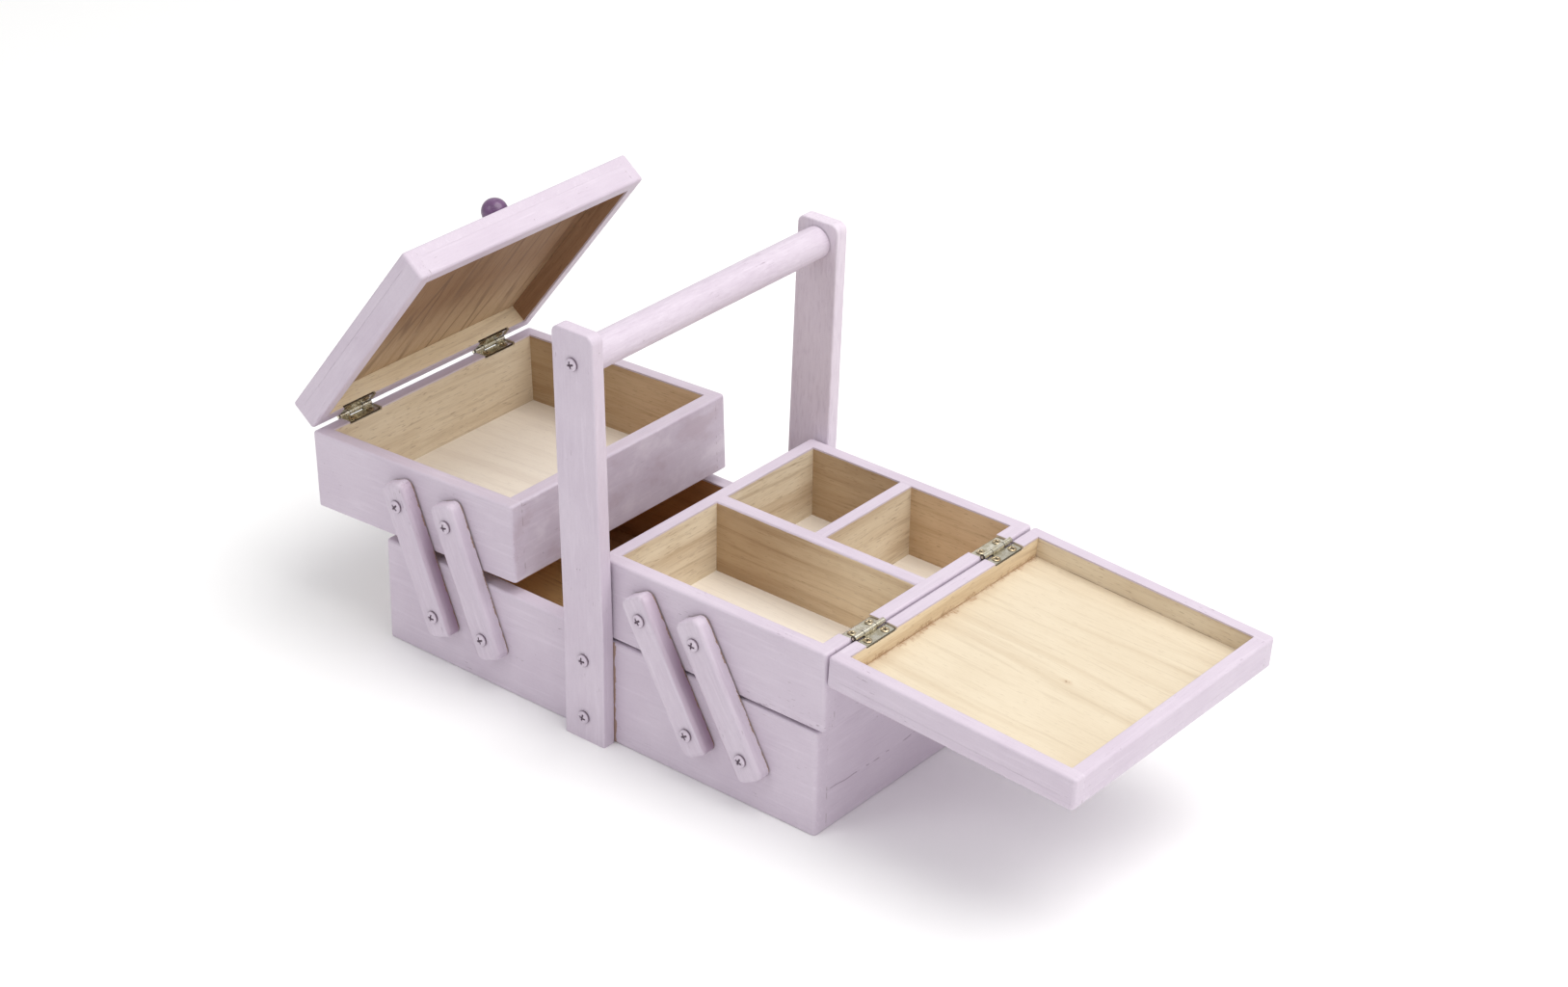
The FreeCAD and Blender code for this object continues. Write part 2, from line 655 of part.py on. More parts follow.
def lid_panel(label, length, depth):
    body = new_body(label)
    box(body, "AdditiveBox", label + "_blank", ("0", "0", "0"), (length, depth, "Sizes.lid_panel"))
    thick = cell("lid_panel")
    round_edges(body, label + "_corners", "Sizes.corner_round",
                lambda bounds: bounds.ZLength > thick / 2)
    round_edges(body, label + "_edge", "Sizes.rim_round", lambda bounds: near(bounds.ZMin, thick))
    drill(body, label + "_knob_hole", "XY_Plane", [("Sizes.knob_edge", depth + " / 2")],
          "Sizes.dowel_radius", "Sizes.dowel_depth", "Sizes.lid_panel")
    return body


def knob(label):
    """Turned ball with a flat seat and a dowel, z = 0 at the lid's outer face."""
    body = new_body(label)
    ball = body.newObject("PartDesign::AdditiveSphere", label + "_ball")
    ball.setExpression("Radius", "Sizes.knob_radius")
    ball.setExpression("Placement.Base.z", "Sizes.knob_rise")
    doc.recompute()
    trim = "2 * Sizes.knob_radius"
    box(body, "SubtractiveBox", label + "_flat",
        ("-Sizes.knob_radius", "-Sizes.knob_radius", "-" + trim), (trim, trim, trim))
    dowel = body.newObject("PartDesign::AdditiveCylinder", label + "_dowel")
    dowel.setExpression("Radius", "Sizes.dowel_radius")
    dowel.setExpression("Height", "Sizes.dowel_depth + Sizes.knob_rise")
    dowel.setExpression("Placement.Base.z", "-Sizes.dowel_depth")
    doc.recompute()
    return body


def arm(label, upper_play):
    """Arm from its lower pivot at the origin up to z = arm_span, outer face at -Y."""
    body = new_body(label)
    outline = add_sketch(body, label + "_outline", "XZ_Plane")
    half = "Sizes.arm_width / 2"
    draw_rectangle(outline, "-" + half, half, "-Sizes.arm_overhang",
                   "Sizes.arm_span + Sizes.arm_overhang")
    pad(body, outline, "Sizes.arm_thick")
    thick = cell("arm_thick")
    round_edges(body, label + "_corners", "Sizes.arm_corner",
                lambda bounds: near(bounds.YLength, thick))
    round_edges(body, label + "_face", "Sizes.arm_edge", lambda bounds: near(bounds.YMax, -thick))
    drill(body, label + "_lower_hole", "XZ_Plane", [("0", "0")],
          "Sizes.shank_radius + Sizes.pivot_play", None, flipped=True)
    drill(body, label + "_upper_hole", "XZ_Plane", [("0", "Sizes.arm_span")],
          "Sizes.shank_radius + Sizes." + upper_play, None, flipped=True)
    return body


def tray_side(side_name, outwards, drop, tilt, slack):
    """One tray with its arms, lid, hinges and screws. outwards is +1 right, -1 left."""
    mirrored = turn(Vector(0, 0, 1), 0 if outwards > 0 else 180)
    near_name, far_name = ("front", "back") if outwards > 0 else ("back", "front")
    lean = math.radians(cell(side_name + "_lean"))
    rise = "Sizes.%s_rise" % side_name
    inset = cell(side_name + "_inset")
    pitch = cell("pivot_pitch")
    span = cell("arm_span")

    lower = {"inner": outwards * cell("pivot_x"), "outer": outwards * (cell("pivot_x") + pitch)}
    arm_face = half_depth + cell("arm_gap")
    for name, pivot in lower.items():
        for end_name, side in (("front", FRONT), ("back", BACK)):
            play = slack if name == "inner" else "pivot_play"
            body = arm("%s_%s_arm_%s" % (side_name, name, end_name), play)
            leaned = turn(Vector(0, 1, 0), outwards * math.degrees(lean))
            place = shift(pivot, 0, cell("pivot_z")).multiply(leaned)
            place = place.multiply(turn(Vector(0, 0, 1), side))
            body.Placement = place.multiply(shift(0, -arm_face, 0))
            keep(body)
    group(side_name + "_base_pivot_screws", pivot_screw,
          [facing(side, pivot, head_seat, cell("pivot_z")) for side in (FRONT, BACK)
           for pivot in lower.values()])

    # The tray hangs on the upper pivot of its outer arms.
    hung_at = Vector(lower["outer"] + outwards * span * math.sin(lean), 0,
                     cell("pivot_z") + span * math.cos(lean))
    attitude = turn(Vector(0, 1, 0), outwards * tilt).multiply(mirrored)
    on_tray = Vector(inset + pitch, 0, number(rise))
    tray_frame = Placement(hung_at - attitude.Rotation.multVec(on_tray), attitude.Rotation)
    lid_turn = turn(Vector(0, 1, 0), cell(side_name + "_lid_open"))
    axis_spot = shift(cell("tray_length") + cell("hinge_out"), 0, hinge_height)
    hinge_frame = tray_frame.multiply(axis_spot)
    lid_frame = hinge_frame.multiply(lid_turn)

    pieces = tray_walls(side_name, rise, drop, near_name, far_name)
    if side_name == "right":
        pieces += dividers(side_name)
    for body, place in pieces:
        body.Placement = tray_frame.multiply(place)
        keep(body)
    for body, place in lid_pieces(side_name, near_name, far_name):
        body.Placement = lid_frame.multiply(place)
        keep(body)

    spots = [(inset, number("%s - %s" % (rise, drop))), (inset + pitch, number(rise))]
    group(side_name + "_tray_pivot_screws", pivot_screw,
          [tray_frame.multiply(facing(side, x, head_seat, z)) for side in (FRONT, BACK)
           for x, z in spots])
    flipped = turn(Vector(1, 0, 0), 180)
    leaf_top = cell("leaf_thick") - cell("leaf_seat")
    hinges = [shift(0, sign * cell("hinge_y"), 0) for sign in (-1, 1)]
    leaf_screws = []
    for hinge in hinges:
        for hop in (-0.5, 0.5):
            spot = shift(-cell("leaf_screw_x"), hop * cell("leaf_screw_pitch"), leaf_top)
            leaf_screws.append(hinge.multiply(spot))
    group(side_name + "_hinge_tray_leaves", tray_leaf, [hinge_frame.multiply(h) for h in hinges])
    group(side_name + "_hinge_pins", hinge_pin, [hinge_frame.multiply(h) for h in hinges])
    group(side_name + "_tray_leaf_screws", small_screw,
          [hinge_frame.multiply(spot) for spot in leaf_screws])
    group(side_name + "_hinge_lid_leaves", lid_leaf,
          [lid_frame.multiply(h).multiply(flipped) for h in hinges])
    group(side_name + "_lid_leaf_screws", small_screw,
          [lid_frame.multiply(flipped).multiply(spot) for spot in leaf_screws])


base_box()
handle()
tray_side("right", 1, "0", 0, "pivot_play")
tray_side("left", -1, "Sizes.left_drop", cell("left_tilt"), "slack_play")
doc.recompute()


# ---------------------------------------------------------------- checks and files

for item in doc.Objects:
    if "Invalid" in item.State or "Error" in item.State:
        raise RuntimeError("%s did not recompute: %s" % (item.Label, item.State))
for item in subparts:
    if item.Shape.isNull() or not item.Shape.isValid():
        raise RuntimeError("%s has no valid shape" % item.Label)

os.makedirs("parts", exist_ok=True)
for item in subparts:
    item.Shape.exportStep("parts/%s.step" % item.Label)
    bounds = item.Shape.BoundBox
    print("%-32s %d solids  x %7.2f %7.2f  y %7.2f %7.2f  z %7.2f %7.2f" % (
        item.Label, len(item.Shape.Solids), bounds.XMin, bounds.XMax,
        bounds.YMin, bounds.YMax, bounds.ZMin, bounds.ZMax))
print("%d sub-parts" % len(subparts))
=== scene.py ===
import json
import math
import random

import bmesh
import bpy
from mathutils import Matrix, Vector


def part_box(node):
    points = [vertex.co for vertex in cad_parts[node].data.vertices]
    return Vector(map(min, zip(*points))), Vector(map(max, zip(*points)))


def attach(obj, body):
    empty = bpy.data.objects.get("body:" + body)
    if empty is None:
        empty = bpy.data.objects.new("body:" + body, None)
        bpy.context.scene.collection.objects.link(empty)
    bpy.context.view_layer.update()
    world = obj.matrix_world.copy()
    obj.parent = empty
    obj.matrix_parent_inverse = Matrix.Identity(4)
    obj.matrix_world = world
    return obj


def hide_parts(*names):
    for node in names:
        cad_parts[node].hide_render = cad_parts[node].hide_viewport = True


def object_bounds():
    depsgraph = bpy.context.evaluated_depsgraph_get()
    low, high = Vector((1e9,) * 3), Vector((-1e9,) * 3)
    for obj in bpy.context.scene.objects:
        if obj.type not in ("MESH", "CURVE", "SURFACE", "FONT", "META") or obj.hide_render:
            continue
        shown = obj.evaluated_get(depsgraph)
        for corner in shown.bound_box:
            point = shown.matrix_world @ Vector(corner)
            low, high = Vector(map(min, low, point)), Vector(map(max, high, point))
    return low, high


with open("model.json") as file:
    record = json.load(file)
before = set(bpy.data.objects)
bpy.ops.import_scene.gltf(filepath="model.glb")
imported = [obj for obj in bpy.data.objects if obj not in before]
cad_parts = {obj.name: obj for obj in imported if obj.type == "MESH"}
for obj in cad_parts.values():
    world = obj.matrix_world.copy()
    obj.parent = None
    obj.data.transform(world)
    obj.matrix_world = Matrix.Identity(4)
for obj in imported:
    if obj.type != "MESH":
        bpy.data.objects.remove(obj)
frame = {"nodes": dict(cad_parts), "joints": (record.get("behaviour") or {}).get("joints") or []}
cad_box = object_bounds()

# Looks of the cantilever sewing box. Metres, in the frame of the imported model: +X towards
# the right tray, -Y towards the front, +Z up.

nodes = frame["nodes"]
MM = 0.001

# Where each moving body is pivoted on the body that carries it.
PIVOTS = {joint["child"]: Vector(joint["pos_m"]) for joint in frame["joints"]}


# ---------------------------------------------------------------- where the boards are

def thickness(name):
    """Size of a front board along Y."""
    low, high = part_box(name)
    return high.y - low.y


# The boards round each kind of box, the flat one among them or inside them, and their thickness.
BOX_KINDS = {
    "base": (["front", "back", "left_end", "right_end"], "floor", thickness("base_front")),
    "tray": (["front", "back", "inner", "outer"], "floor", thickness("right_tray_front")),
    "lid": (["front_rail", "back_rail", "free_rail", "hinge_rail", "panel"], "panel",
            thickness("right_lid_front_rail")),
}

# How far the paint runs over a rim and down its bare side, and how far its end wanders.
PAINT_LIP = 0.5 * MM
PAINT_WANDER = 0.6 * MM
# Length over which a board's edges stay sharp at its ends, where it only meets its neighbours.
SEAM = 1.0 * MM
# Depth within which a mark belongs to a face.
SKIN = 0.4 * MM
# Margin of the masks that tell the faces of a board apart.
SLACK = 0.05 * MM
# Radius to which the paint eases the sharp edges.
EASED_EDGE = 0.45 * MM
# Half the width of an arm, which the frame's boxes don't give because the arms lean.
ARM_HALF_WIDTH = 7.5 * MM


def corners_of(spots):
    """Lowest and highest corners of a set of points."""
    low = Vector([min(spot[axis] for spot in spots) for axis in range(3)])
    high = Vector([max(spot[axis] for spot in spots) for axis in range(3)])
    return low, high


def lean_of(name):
    """Angle about Y of a flat piece, from the normal of its largest face."""
    best = max(nodes[name].data.polygons, key=lambda polygon: polygon.area)
    normal = best.normal if best.normal.z >= 0 else -best.normal
    return math.atan2(normal.x, normal.z)


class BoxFrame:
    """Own axes of a box that leans about Y: its middle, half sizes and wall in them."""

    def __init__(self, flat_node, members, wall):
        self.wall = wall
        self.lean = lean_of(flat_node)
        self.axes = Matrix.Rotation(self.lean, 3, "Y")
        low, high = corners_of([self.axes.transposed() @ vertex.co
                                for member in members for vertex in nodes[member].data.vertices])
        self.half = (high - low) / 2
        self.middle = self.axes @ ((high + low) / 2)

    def board(self, name):
        """Middle and half sizes of one board, in the box's own axes."""
        low, high = corners_of([self.axes.transposed() @ (vertex.co - self.middle)
                                for vertex in nodes[name].data.vertices])
        return (high + low) / 2, (high - low) / 2


def base_frame():
    members, flat, wall = BOX_KINDS["base"]
    return BoxFrame("base_" + flat, ["base_" + member for member in members], wall)


def tray_frame(side):
    """Frame of a tray, with the way along its X in which the other tray lies."""
    members, flat, wall = BOX_KINDS["tray"]
    prefix = side + "_tray_"
    box = BoxFrame(prefix + flat, [prefix + member for member in members], wall)
    box.inner_way = 1 if side == "left" else -1
    return box


def lid_frame(side):
    """Frame of a lid, with whether its panel is above its rim there, and where they meet."""
    members, flat, wall = BOX_KINDS["lid"]
    prefix = side + "_lid_"
    box = BoxFrame(prefix + flat, [prefix + member for member in members], wall)
    middle, half = box.board(prefix + flat)
    box.panel_up = middle.z > 0
    box.seam_height = middle.z - half.z if box.panel_up else middle.z + half.z
    return box


# ---------------------------------------------------------------- shader helpers

class Graph:
    """Short way to add and link the nodes of one shader tree."""

    def __init__(self, tree):
        self.tree = tree

    def add(self, kind, settings=None, inputs=None):
        node = self.tree.nodes.new("ShaderNode" + kind)
        for name, value in (settings or {}).items():
            setattr(node, name, value)
        for name, value in (inputs or {}).items():
            self.feed(node.inputs[name], value)
        return node

    def feed(self, socket, value):
        if isinstance(value, bpy.types.NodeSocket):
            self.tree.links.new(value, socket)
        else:
            socket.default_value = value

    def math(self, operation, first, second=None):
        node = self.add("Math", {"operation": operation})
        self.feed(node.inputs[0], first)
        if second is not None:
            self.feed(node.inputs[1], second)
        return node.outputs[0]

    def step(self, value, low, high, to_low=0.0, to_high=1.0):
        """Smooth step from to_low to to_high as value goes from low to high."""
        node = self.add("MapRange", {"interpolation_type": "SMOOTHSTEP"}, {
            "Value": value, "From Min": low, "From Max": high, "To Min": to_low, "To Max": to_high})
        return node.outputs["Result"]

    def mix(self, factor, first, second):
        """Colour first where factor is 0 and second where it is 1."""
        node = self.add("Mix", {"data_type": "RGBA"})
        self.feed(node.inputs[0], factor)
        self.feed(node.inputs[6], first)
        self.feed(node.inputs[7], second)
        return node.outputs[2]

    def blend(self, factor, first, second):
        """Number first where factor is 0 and second where it is 1."""
        node = self.add("Mix", {"data_type": "FLOAT"})
        self.feed(node.inputs[0], factor)
        self.feed(node.inputs[2], first)
        self.feed(node.inputs[3], second)
        return node.outputs[0]

    def stretch(self, vector, scale, offset=(0, 0, 0)):
        node = self.add("Mapping", None, {"Vector": vector, "Scale": scale, "Location": offset})
        return node.outputs["Vector"]

    def noise(self, vector, scale, detail=2.0, roughness=0.5, distortion=0.0):
        node = self.add("TexNoise", None, {"Vector": vector, "Scale": scale, "Detail": detail,
                                           "Roughness": roughness, "Distortion": distortion})
        return node.outputs["Fac"]


def colour(red, green, blue):
    return (red, green, blue, 1.0)


def new_group(name, inputs, outputs):
    tree = bpy.data.node_groups.new(name, "ShaderNodeTree")
    for label, kind in inputs:
        tree.interface.new_socket(label, in_out="INPUT", socket_type="NodeSocket" + kind)
    for label, kind in outputs:
        tree.interface.new_socket(label, in_out="OUTPUT", socket_type="NodeSocket" + kind)
    entry = tree.nodes.new("NodeGroupInput")
    leave = tree.nodes.new("NodeGroupOutput")
    return Graph(tree), entry.outputs, leave.inputs


LOOK_OUTPUTS = [("Color", "Color"), ("Roughness", "Float"), ("Height", "Float")]


def paint_look():
    """Lilac paint brushed over open-grained wood. The grain runs along the vector's X."""
    graph, given, result = new_group("painted_wood_look", [("Grain", "Vector")], LOOK_OUTPUTS)
    grain = given["Grain"]
    drift = graph.noise(grain, 30.0, 3.0)
    fibres = graph.noise(graph.stretch(grain, (90, 1300, 1300)), 1.0, 3.0, 0.6)
    brush = graph.noise(graph.stretch(grain, (30, 520, 520), (3, 7, 1)), 1.0, 2.0, 0.5, 0.3)
    grit = graph.noise(grain, 1100.0, 1.0)
    pores = graph.noise(graph.stretch(grain, (260, 1700, 1700), (9, 2, 5)), 1.0, 1.0, 0.4)
    places = graph.noise(grain, 45.0, 2.0, 0.6)
    specks = graph.add("TexVoronoi", {"feature": "F1"}, {"Vector": grain, "Scale": 190.0})
    speck = graph.step(specks.outputs["Distance"], 0.03, 0.08, 1.0, 0.0)
    rare = graph.step(graph.noise(grain, 60.0, 1.0), 0.62, 0.68)
    pale = colour(0.622, 0.543, 0.630)
    deep = colour(0.588, 0.506, 0.596)
    tone = graph.mix(graph.step(drift, 0.35, 0.70), pale, deep)
    tone = graph.mix(graph.step(fibres, 0.50, 0.82, 0.0, 0.36), tone, colour(0.48, 0.39, 0.49))
    tone = graph.mix(graph.step(brush, 0.52, 0.80, 0.0, 0.34), tone, colour(0.74, 0.66, 0.75))
    tone = graph.mix(graph.step(grit, 0.35, 0.75, 0.0, 0.12), tone, colour(0.50, 0.42, 0.50))
    pore = graph.math("MULTIPLY", graph.step(pores, 0.67, 0.73), graph.step(places, 0.58, 0.68))
    tone = graph.mix(graph.math("MULTIPLY", pore, 0.6), tone, colour(0.24, 0.17, 0.22))
    mark = graph.math("MULTIPLY", speck, rare)
    tone = graph.mix(graph.math("MULTIPLY", mark, 0.6), tone, colour(0.22, 0.15, 0.20))
    height = graph.math("ADD", graph.math("MULTIPLY", fibres, 0.35),
                        graph.math("MULTIPLY", brush, 0.40))
    height = graph.math("ADD", height, graph.math("MULTIPLY", grit, 0.25))
    height = graph.math("SUBTRACT", height, graph.math("MULTIPLY", pore, 0.7))
    height = graph.math("SUBTRACT", height, graph.math("MULTIPLY", mark, 0.6))
    graph.feed(result["Color"], tone)
    graph.feed(result["Roughness"], graph.step(brush, 0.3, 0.8, 0.58, 0.46))
    graph.feed(result["Height"], height)
    return graph.tree


def bare_look():
    """Pale plank with brown grain bands and short flecks, the grain along the vector's X."""
    graph, given, result = new_group(
        "bare_wood_look", [("Grain", "Vector"), ("Stain", "Color")], LOOK_OUTPUTS)
    grain = given["Grain"]
    swirl = graph.add("TexNoise", None, {
        "Vector": graph.stretch(grain, (5, 16, 16)), "Scale": 1.0, "Detail": 2.0})
    warp = graph.add("VectorMath", {"operation": "SCALE"}, {
        0: swirl.outputs["Color"], "Scale": 0.020}).outputs[0]
    bent = graph.add("VectorMath", {"operation": "ADD"}, {0: grain, 1: warp}).outputs[0]
    bands = graph.noise(graph.stretch(bent, (4, 120, 120)), 1.0, 3.0, 0.5)
    lines = graph.noise(graph.stretch(bent, (9, 480, 480), (4, 4, 2)), 1.0, 2.0, 0.5)
    fibres = graph.noise(graph.stretch(grain, (90, 1700, 1700)), 1.0, 2.0, 0.6)
    flecks = graph.noise(graph.stretch(grain, (210, 1900, 1900), (1, 8, 3)), 1.0, 1.0, 0.4)
    cloud = graph.noise(grain, 28.0, 2.0)
    tone = graph.mix(graph.step(cloud, 0.3, 0.7), colour(0.74, 0.64, 0.49), colour(0.68, 0.57, 0.42))
    tone = graph.mix(graph.step(bands, 0.46, 0.70, 0.0, 0.62), tone, colour(0.48, 0.35, 0.22))
    tone = graph.mix(graph.step(lines, 0.54, 0.74, 0.0, 0.38), tone, colour(0.36, 0.25, 0.15))
    tone = graph.mix(graph.step(fibres, 0.50, 0.80, 0.0, 0.30), tone, colour(0.82, 0.74, 0.60))
    tone = graph.mix(graph.step(fibres, 0.30, 0.48, 0.22, 0.0), tone, colour(0.44, 0.32, 0.20))
    tone = graph.mix(graph.step(flecks, 0.64, 0.73, 0.0, 0.42), tone, colour(0.28, 0.18, 0.11))
    stained = graph.mix(1.0, tone, given["Stain"])
    stained.node.blend_type = "MULTIPLY"
    height = graph.math("ADD", graph.math("MULTIPLY", fibres, 0.6),
                        graph.math("MULTIPLY", lines, 0.4))
    graph.feed(result["Color"], stained)
    graph.feed(result["Roughness"], graph.step(fibres, 0.3, 0.8, 0.74, 0.62))
    graph.feed(result["Height"], height)
    return graph.tree


PAINT = paint_look()
BARE = bare_look()


def new_material(name):
    material = bpy.data.materials.new(name)
    material.use_nodes = True
    shader = material.node_tree.nodes["Principled BSDF"]
    return material, Graph(material.node_tree), shader


def box_spot(graph, box):
    """Position in the box's own axes, from its middle, as a vector and its parts."""
    spot = graph.add("TexCoord").outputs["Object"]
    own = graph.add("Mapping", {"vector_type": "TEXTURE"}, {
        "Vector": spot, "Location": box.middle, "Rotation": (0, box.lean, 0)}).outputs["Vector"]
    parts = graph.add("SeparateXYZ", None, {"Vector": own}).outputs
    return own, parts


def along_grain(graph, parts, axis, seed):
    """Grain vector: X runs along the board's grain, and the seed moves to other timber."""
    order = {"X": "XYZ", "Y": "YXZ", "Z": "ZYX"}[axis]
    shuffled = graph.add("CombineXYZ", None,
                         {target: parts[source] for target, source in zip("XYZ", order)})
    source = random.Random(seed)
    move = [source.uniform(-9, 9) for _ in range(3)]
    return graph.add("VectorMath", {"operation": "ADD"},
                     {0: shuffled.outputs[0], 1: move}).outputs[0]


def look(graph, tree, grain, wood_tint=None):
    node = graph.tree.nodes.new("ShaderNodeGroup")
    node.node_tree = tree
    graph.feed(node.inputs["Grain"], grain)
    if wood_tint is not None:
        graph.feed(node.inputs["Stain"], wood_tint)
    return node.outputs


def within(graph, part, limit):
    """1 where the part of a position lies closer to the middle than limit."""
    return graph.math("LESS_THAN", graph.math("ABSOLUTE", part), limit)


def all_of(graph, *masks):
    product = masks[0]
    for mask in masks[1:]:
        product = graph.math("MULTIPLY", product, mask)
    return product


def inside_walls(graph, box, parts, margin):
    """1 in the space between a box's walls, seen from above, and margin into them."""
    return all_of(graph, within(graph, parts["X"], box.half.x - box.wall + margin),
                  within(graph, parts["Y"], box.half.y - box.wall + margin))


def on_outer_face(graph, part, half):
    """1 on the outer faces of a box at both ends of one axis, half away from its middle."""
    return graph.math("GREATER_THAN", graph.math("ABSOLUTE", part), half - SKIN)


def finish_shader(graph, shader, tone, roughness, height, depth, soft_edge=None):
    """Bump and colour into the shader. soft_edge is a mask where sharp edges are eased."""
    graph.feed(shader.inputs["Base Color"], tone)
    graph.feed(shader.inputs["Roughness"], roughness)
    bump = graph.add("Bump", None, {"Height": height, "Strength": 0.55, "Distance": depth})
    if soft_edge is not None:
        eased = graph.add("Bevel", {"samples": 4}, {"Radius": EASED_EDGE}).outputs[0]
        plain = graph.add("NewGeometry").outputs["Normal"]
        chosen = graph.add("Mix", {"data_type": "VECTOR"})
        graph.feed(chosen.inputs[0], soft_edge)
        graph.feed(chosen.inputs[4], plain)
        graph.feed(chosen.inputs[5], eased)
        graph.feed(bump.inputs["Normal"], chosen.outputs[1])
    graph.feed(shader.inputs["Normal"], bump.outputs[0])


# ---------------------------------------------------------------- wooden boards

# Tints over the bare wood, from new pale boards to browned ones. Some of them stand in for light: the
# fade over the base's floor is painted light and shade, and the tints of the left lid's panel are
# painted shade.
CLEAN = colour(1.00, 1.00, 1.00)
HONEY = colour(0.82, 0.74, 0.64)
AMBER = colour(0.90, 0.76, 0.64)
BROWN = colour(0.68, 0.57, 0.46)
PALE = colour(1.16, 1.14, 1.08)
DUSKY = colour(0.78, 0.67, 0.57)
UMBER = colour(0.39, 0.26, 0.18)
RUSTY = colour(0.46, 0.31, 0.23)
TAWNY = colour(1.34, 1.05, 0.66)
DARK_BROWN = colour(0.60, 0.36, 0.21)
WASHED = colour(0.66, 0.57, 0.43)


def faded(graph, place, half, wood_tint):
    """One tint, or one that passes into another along an axis of a box.

    place: position along that axis, from the box's middle. half: the box's half size there.
    wood_tint: a tint, or two of them and the shares of half between which they change.
    """
    if not isinstance(wood_tint[0], tuple):
        return wood_tint
    first, second, start, finish = wood_tint
    return graph.mix(graph.step(place, start * half, finish * half), first, second)


def board_material(name, box, grain_axis, room, sharp_ends, wood_tint=CLEAN, details=(), wash=0.0):
    """Paint outside and bare wood inside a box.

    room: lowest and highest local z of the bare inside. sharp_ends: how far the board's
    edges stay sharp at its ends, where the next board stands against it. stain is what
    faded() takes, along the box's X. details are functions that add marks: each takes the
    graph, the box, the position as a vector and as parts, and the tone. wash evens out the
    bare grain.
    """
    material, graph, shader = new_material(name + "_wood")
    own, parts = box_spot(graph, box)
    grain = along_grain(graph, parts, grain_axis, name)
    paint = look(graph, PAINT, grain)
    bare = look(graph, BARE, grain, faded(graph, parts["X"], box.half.x, wood_tint))
    # The paint ends in a wandering line along a rim, and in a straight one elsewhere.
    wander = graph.math("MULTIPLY", graph.noise(own, 130.0, 2.0), PAINT_WANDER)
    low, high = room
    top = parts["Z"]
    bottom = parts["Z"]
    if abs(high - (box.half.z - PAINT_LIP)) < SLACK:
        top = graph.math("ADD", top, wander)
    if abs(low + box.half.z - PAINT_LIP) < SLACK:
        bottom = graph.math("SUBTRACT", bottom, wander)
    below = graph.math("LESS_THAN", top, high)
    above = graph.math("GREATER_THAN", bottom, low)
    inside = all_of(graph, inside_walls(graph, box, parts, SLACK), below, above)
    middle, half = box.board(name)
    index = "XYZ".index(grain_axis)
    from_middle = graph.math("SUBTRACT", parts[grain_axis], middle[index])
    soft_edge = within(graph, from_middle, half[index] - sharp_ends)
    timber = graph.mix(wash, bare["Color"], WASHED)
    tone = graph.mix(inside, paint["Color"], timber)
    for detail in (joint_cracks, *details):
        tone = detail(graph, box, own, parts, tone)
    roughness = graph.blend(inside, paint["Roughness"], bare["Roughness"])
    raised = graph.blend(inside, paint["Height"], bare["Height"])
    finish_shader(graph, shader, tone, roughness, raised, 0.12 * MM, soft_edge)
    nodes[name].data.materials[0] = material


def joint_cracks(graph, box, own, parts, tone):
    """Broken dark lines where the paint has opened over the joints of the end boards."""
    off_joint = graph.math("SUBTRACT", graph.math("ABSOLUTE", parts["Y"]),
                           box.half.y - box.wall)
    line = graph.step(graph.math("ABSOLUTE", off_joint), 0.10 * MM, 0.32 * MM, 1.0, 0.0)
    ends = on_outer_face(graph, parts["X"], box.half.x)
    broken = graph.step(graph.noise(own, 260.0, 2.0, 0.6), 0.50, 0.62)
    crack = graph.math("MULTIPLY", all_of(graph, line, ends, broken), 0.6)
    return graph.mix(crack, tone, colour(0.20, 0.14, 0.15))


# Height of the crack, from the middle of the base.
END_CRACK_HEIGHT = -6.5 * MM


def end_board_crack(graph, box, own, parts, tone):
    """Dashed crack along the outer face of the base's end board."""
    wander = graph.step(graph.noise(own, 35.0, 2.0), 0.2, 0.8, -1.5 * MM, 1.5 * MM)
    off_line = graph.math("SUBTRACT", graph.math("ADD", parts["Z"], wander), END_CRACK_HEIGHT)
    line = graph.step(graph.math("ABSOLUTE", off_line), 0.10 * MM, 0.45 * MM, 1.0, 0.0)
    outer = on_outer_face(graph, parts["X"], box.half.x)
    dashes = graph.step(graph.noise(own, 190.0, 2.0, 0.6), 0.44, 0.56)
    return graph.mix(graph.math("MULTIPLY", all_of(graph, line, outer, dashes), 0.7), tone,
                     colour(0.25, 0.18, 0.25))


def upright_seam(graph, box, own, parts, tone):
    """Ochre wood left unpainted on the base along both edges of an upright."""
    foot_low, foot_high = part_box("upright_front")
    middle = (foot_low.x + foot_high.x) / 2
    edge = (foot_high.x - foot_low.x) / 2
    beyond = graph.math("SUBTRACT", graph.math("ABSOLUTE", graph.math("SUBTRACT", parts["X"], middle)),
                        edge)
    ragged = graph.step(graph.noise(own, 150.0, 3.0, 0.6), 0.35, 0.65, 0.3 * MM, 1.3 * MM)
    bare = graph.math("LESS_THAN", graph.math("ABSOLUTE", beyond), ragged)
    outer = on_outer_face(graph, parts["Y"], box.half.y)
    return graph.mix(graph.math("MULTIPLY", all_of(graph, bare, outer), 0.85), tone,
                     colour(0.33, 0.20, 0.12))


def worn_end(graph, box, own, parts, tone):
    """Thin mauve patches and thick pale ones in the paint of a tray's inner end."""
    inwards = graph.math("MULTIPLY", parts["X"], box.inner_way)
    outer = graph.math("GREATER_THAN", inwards, box.half.x - SKIN)
    patches = graph.noise(graph.stretch(own, (20, 34, 60), (5, 3, 7)), 1.0, 4.0, 0.6)
    mauve_share = graph.step(patches, 0.50, 0.66, 0.0, 0.32)
    thick = graph.step(patches, 0.34, 0.50, 0.45, 0.0)
    tone = graph.mix(graph.math("MULTIPLY", mauve_share, outer), tone, colour(0.40, 0.28, 0.33))
    return graph.mix(graph.math("MULTIPLY", thick, outer), tone, colour(0.80, 0.73, 0.80))


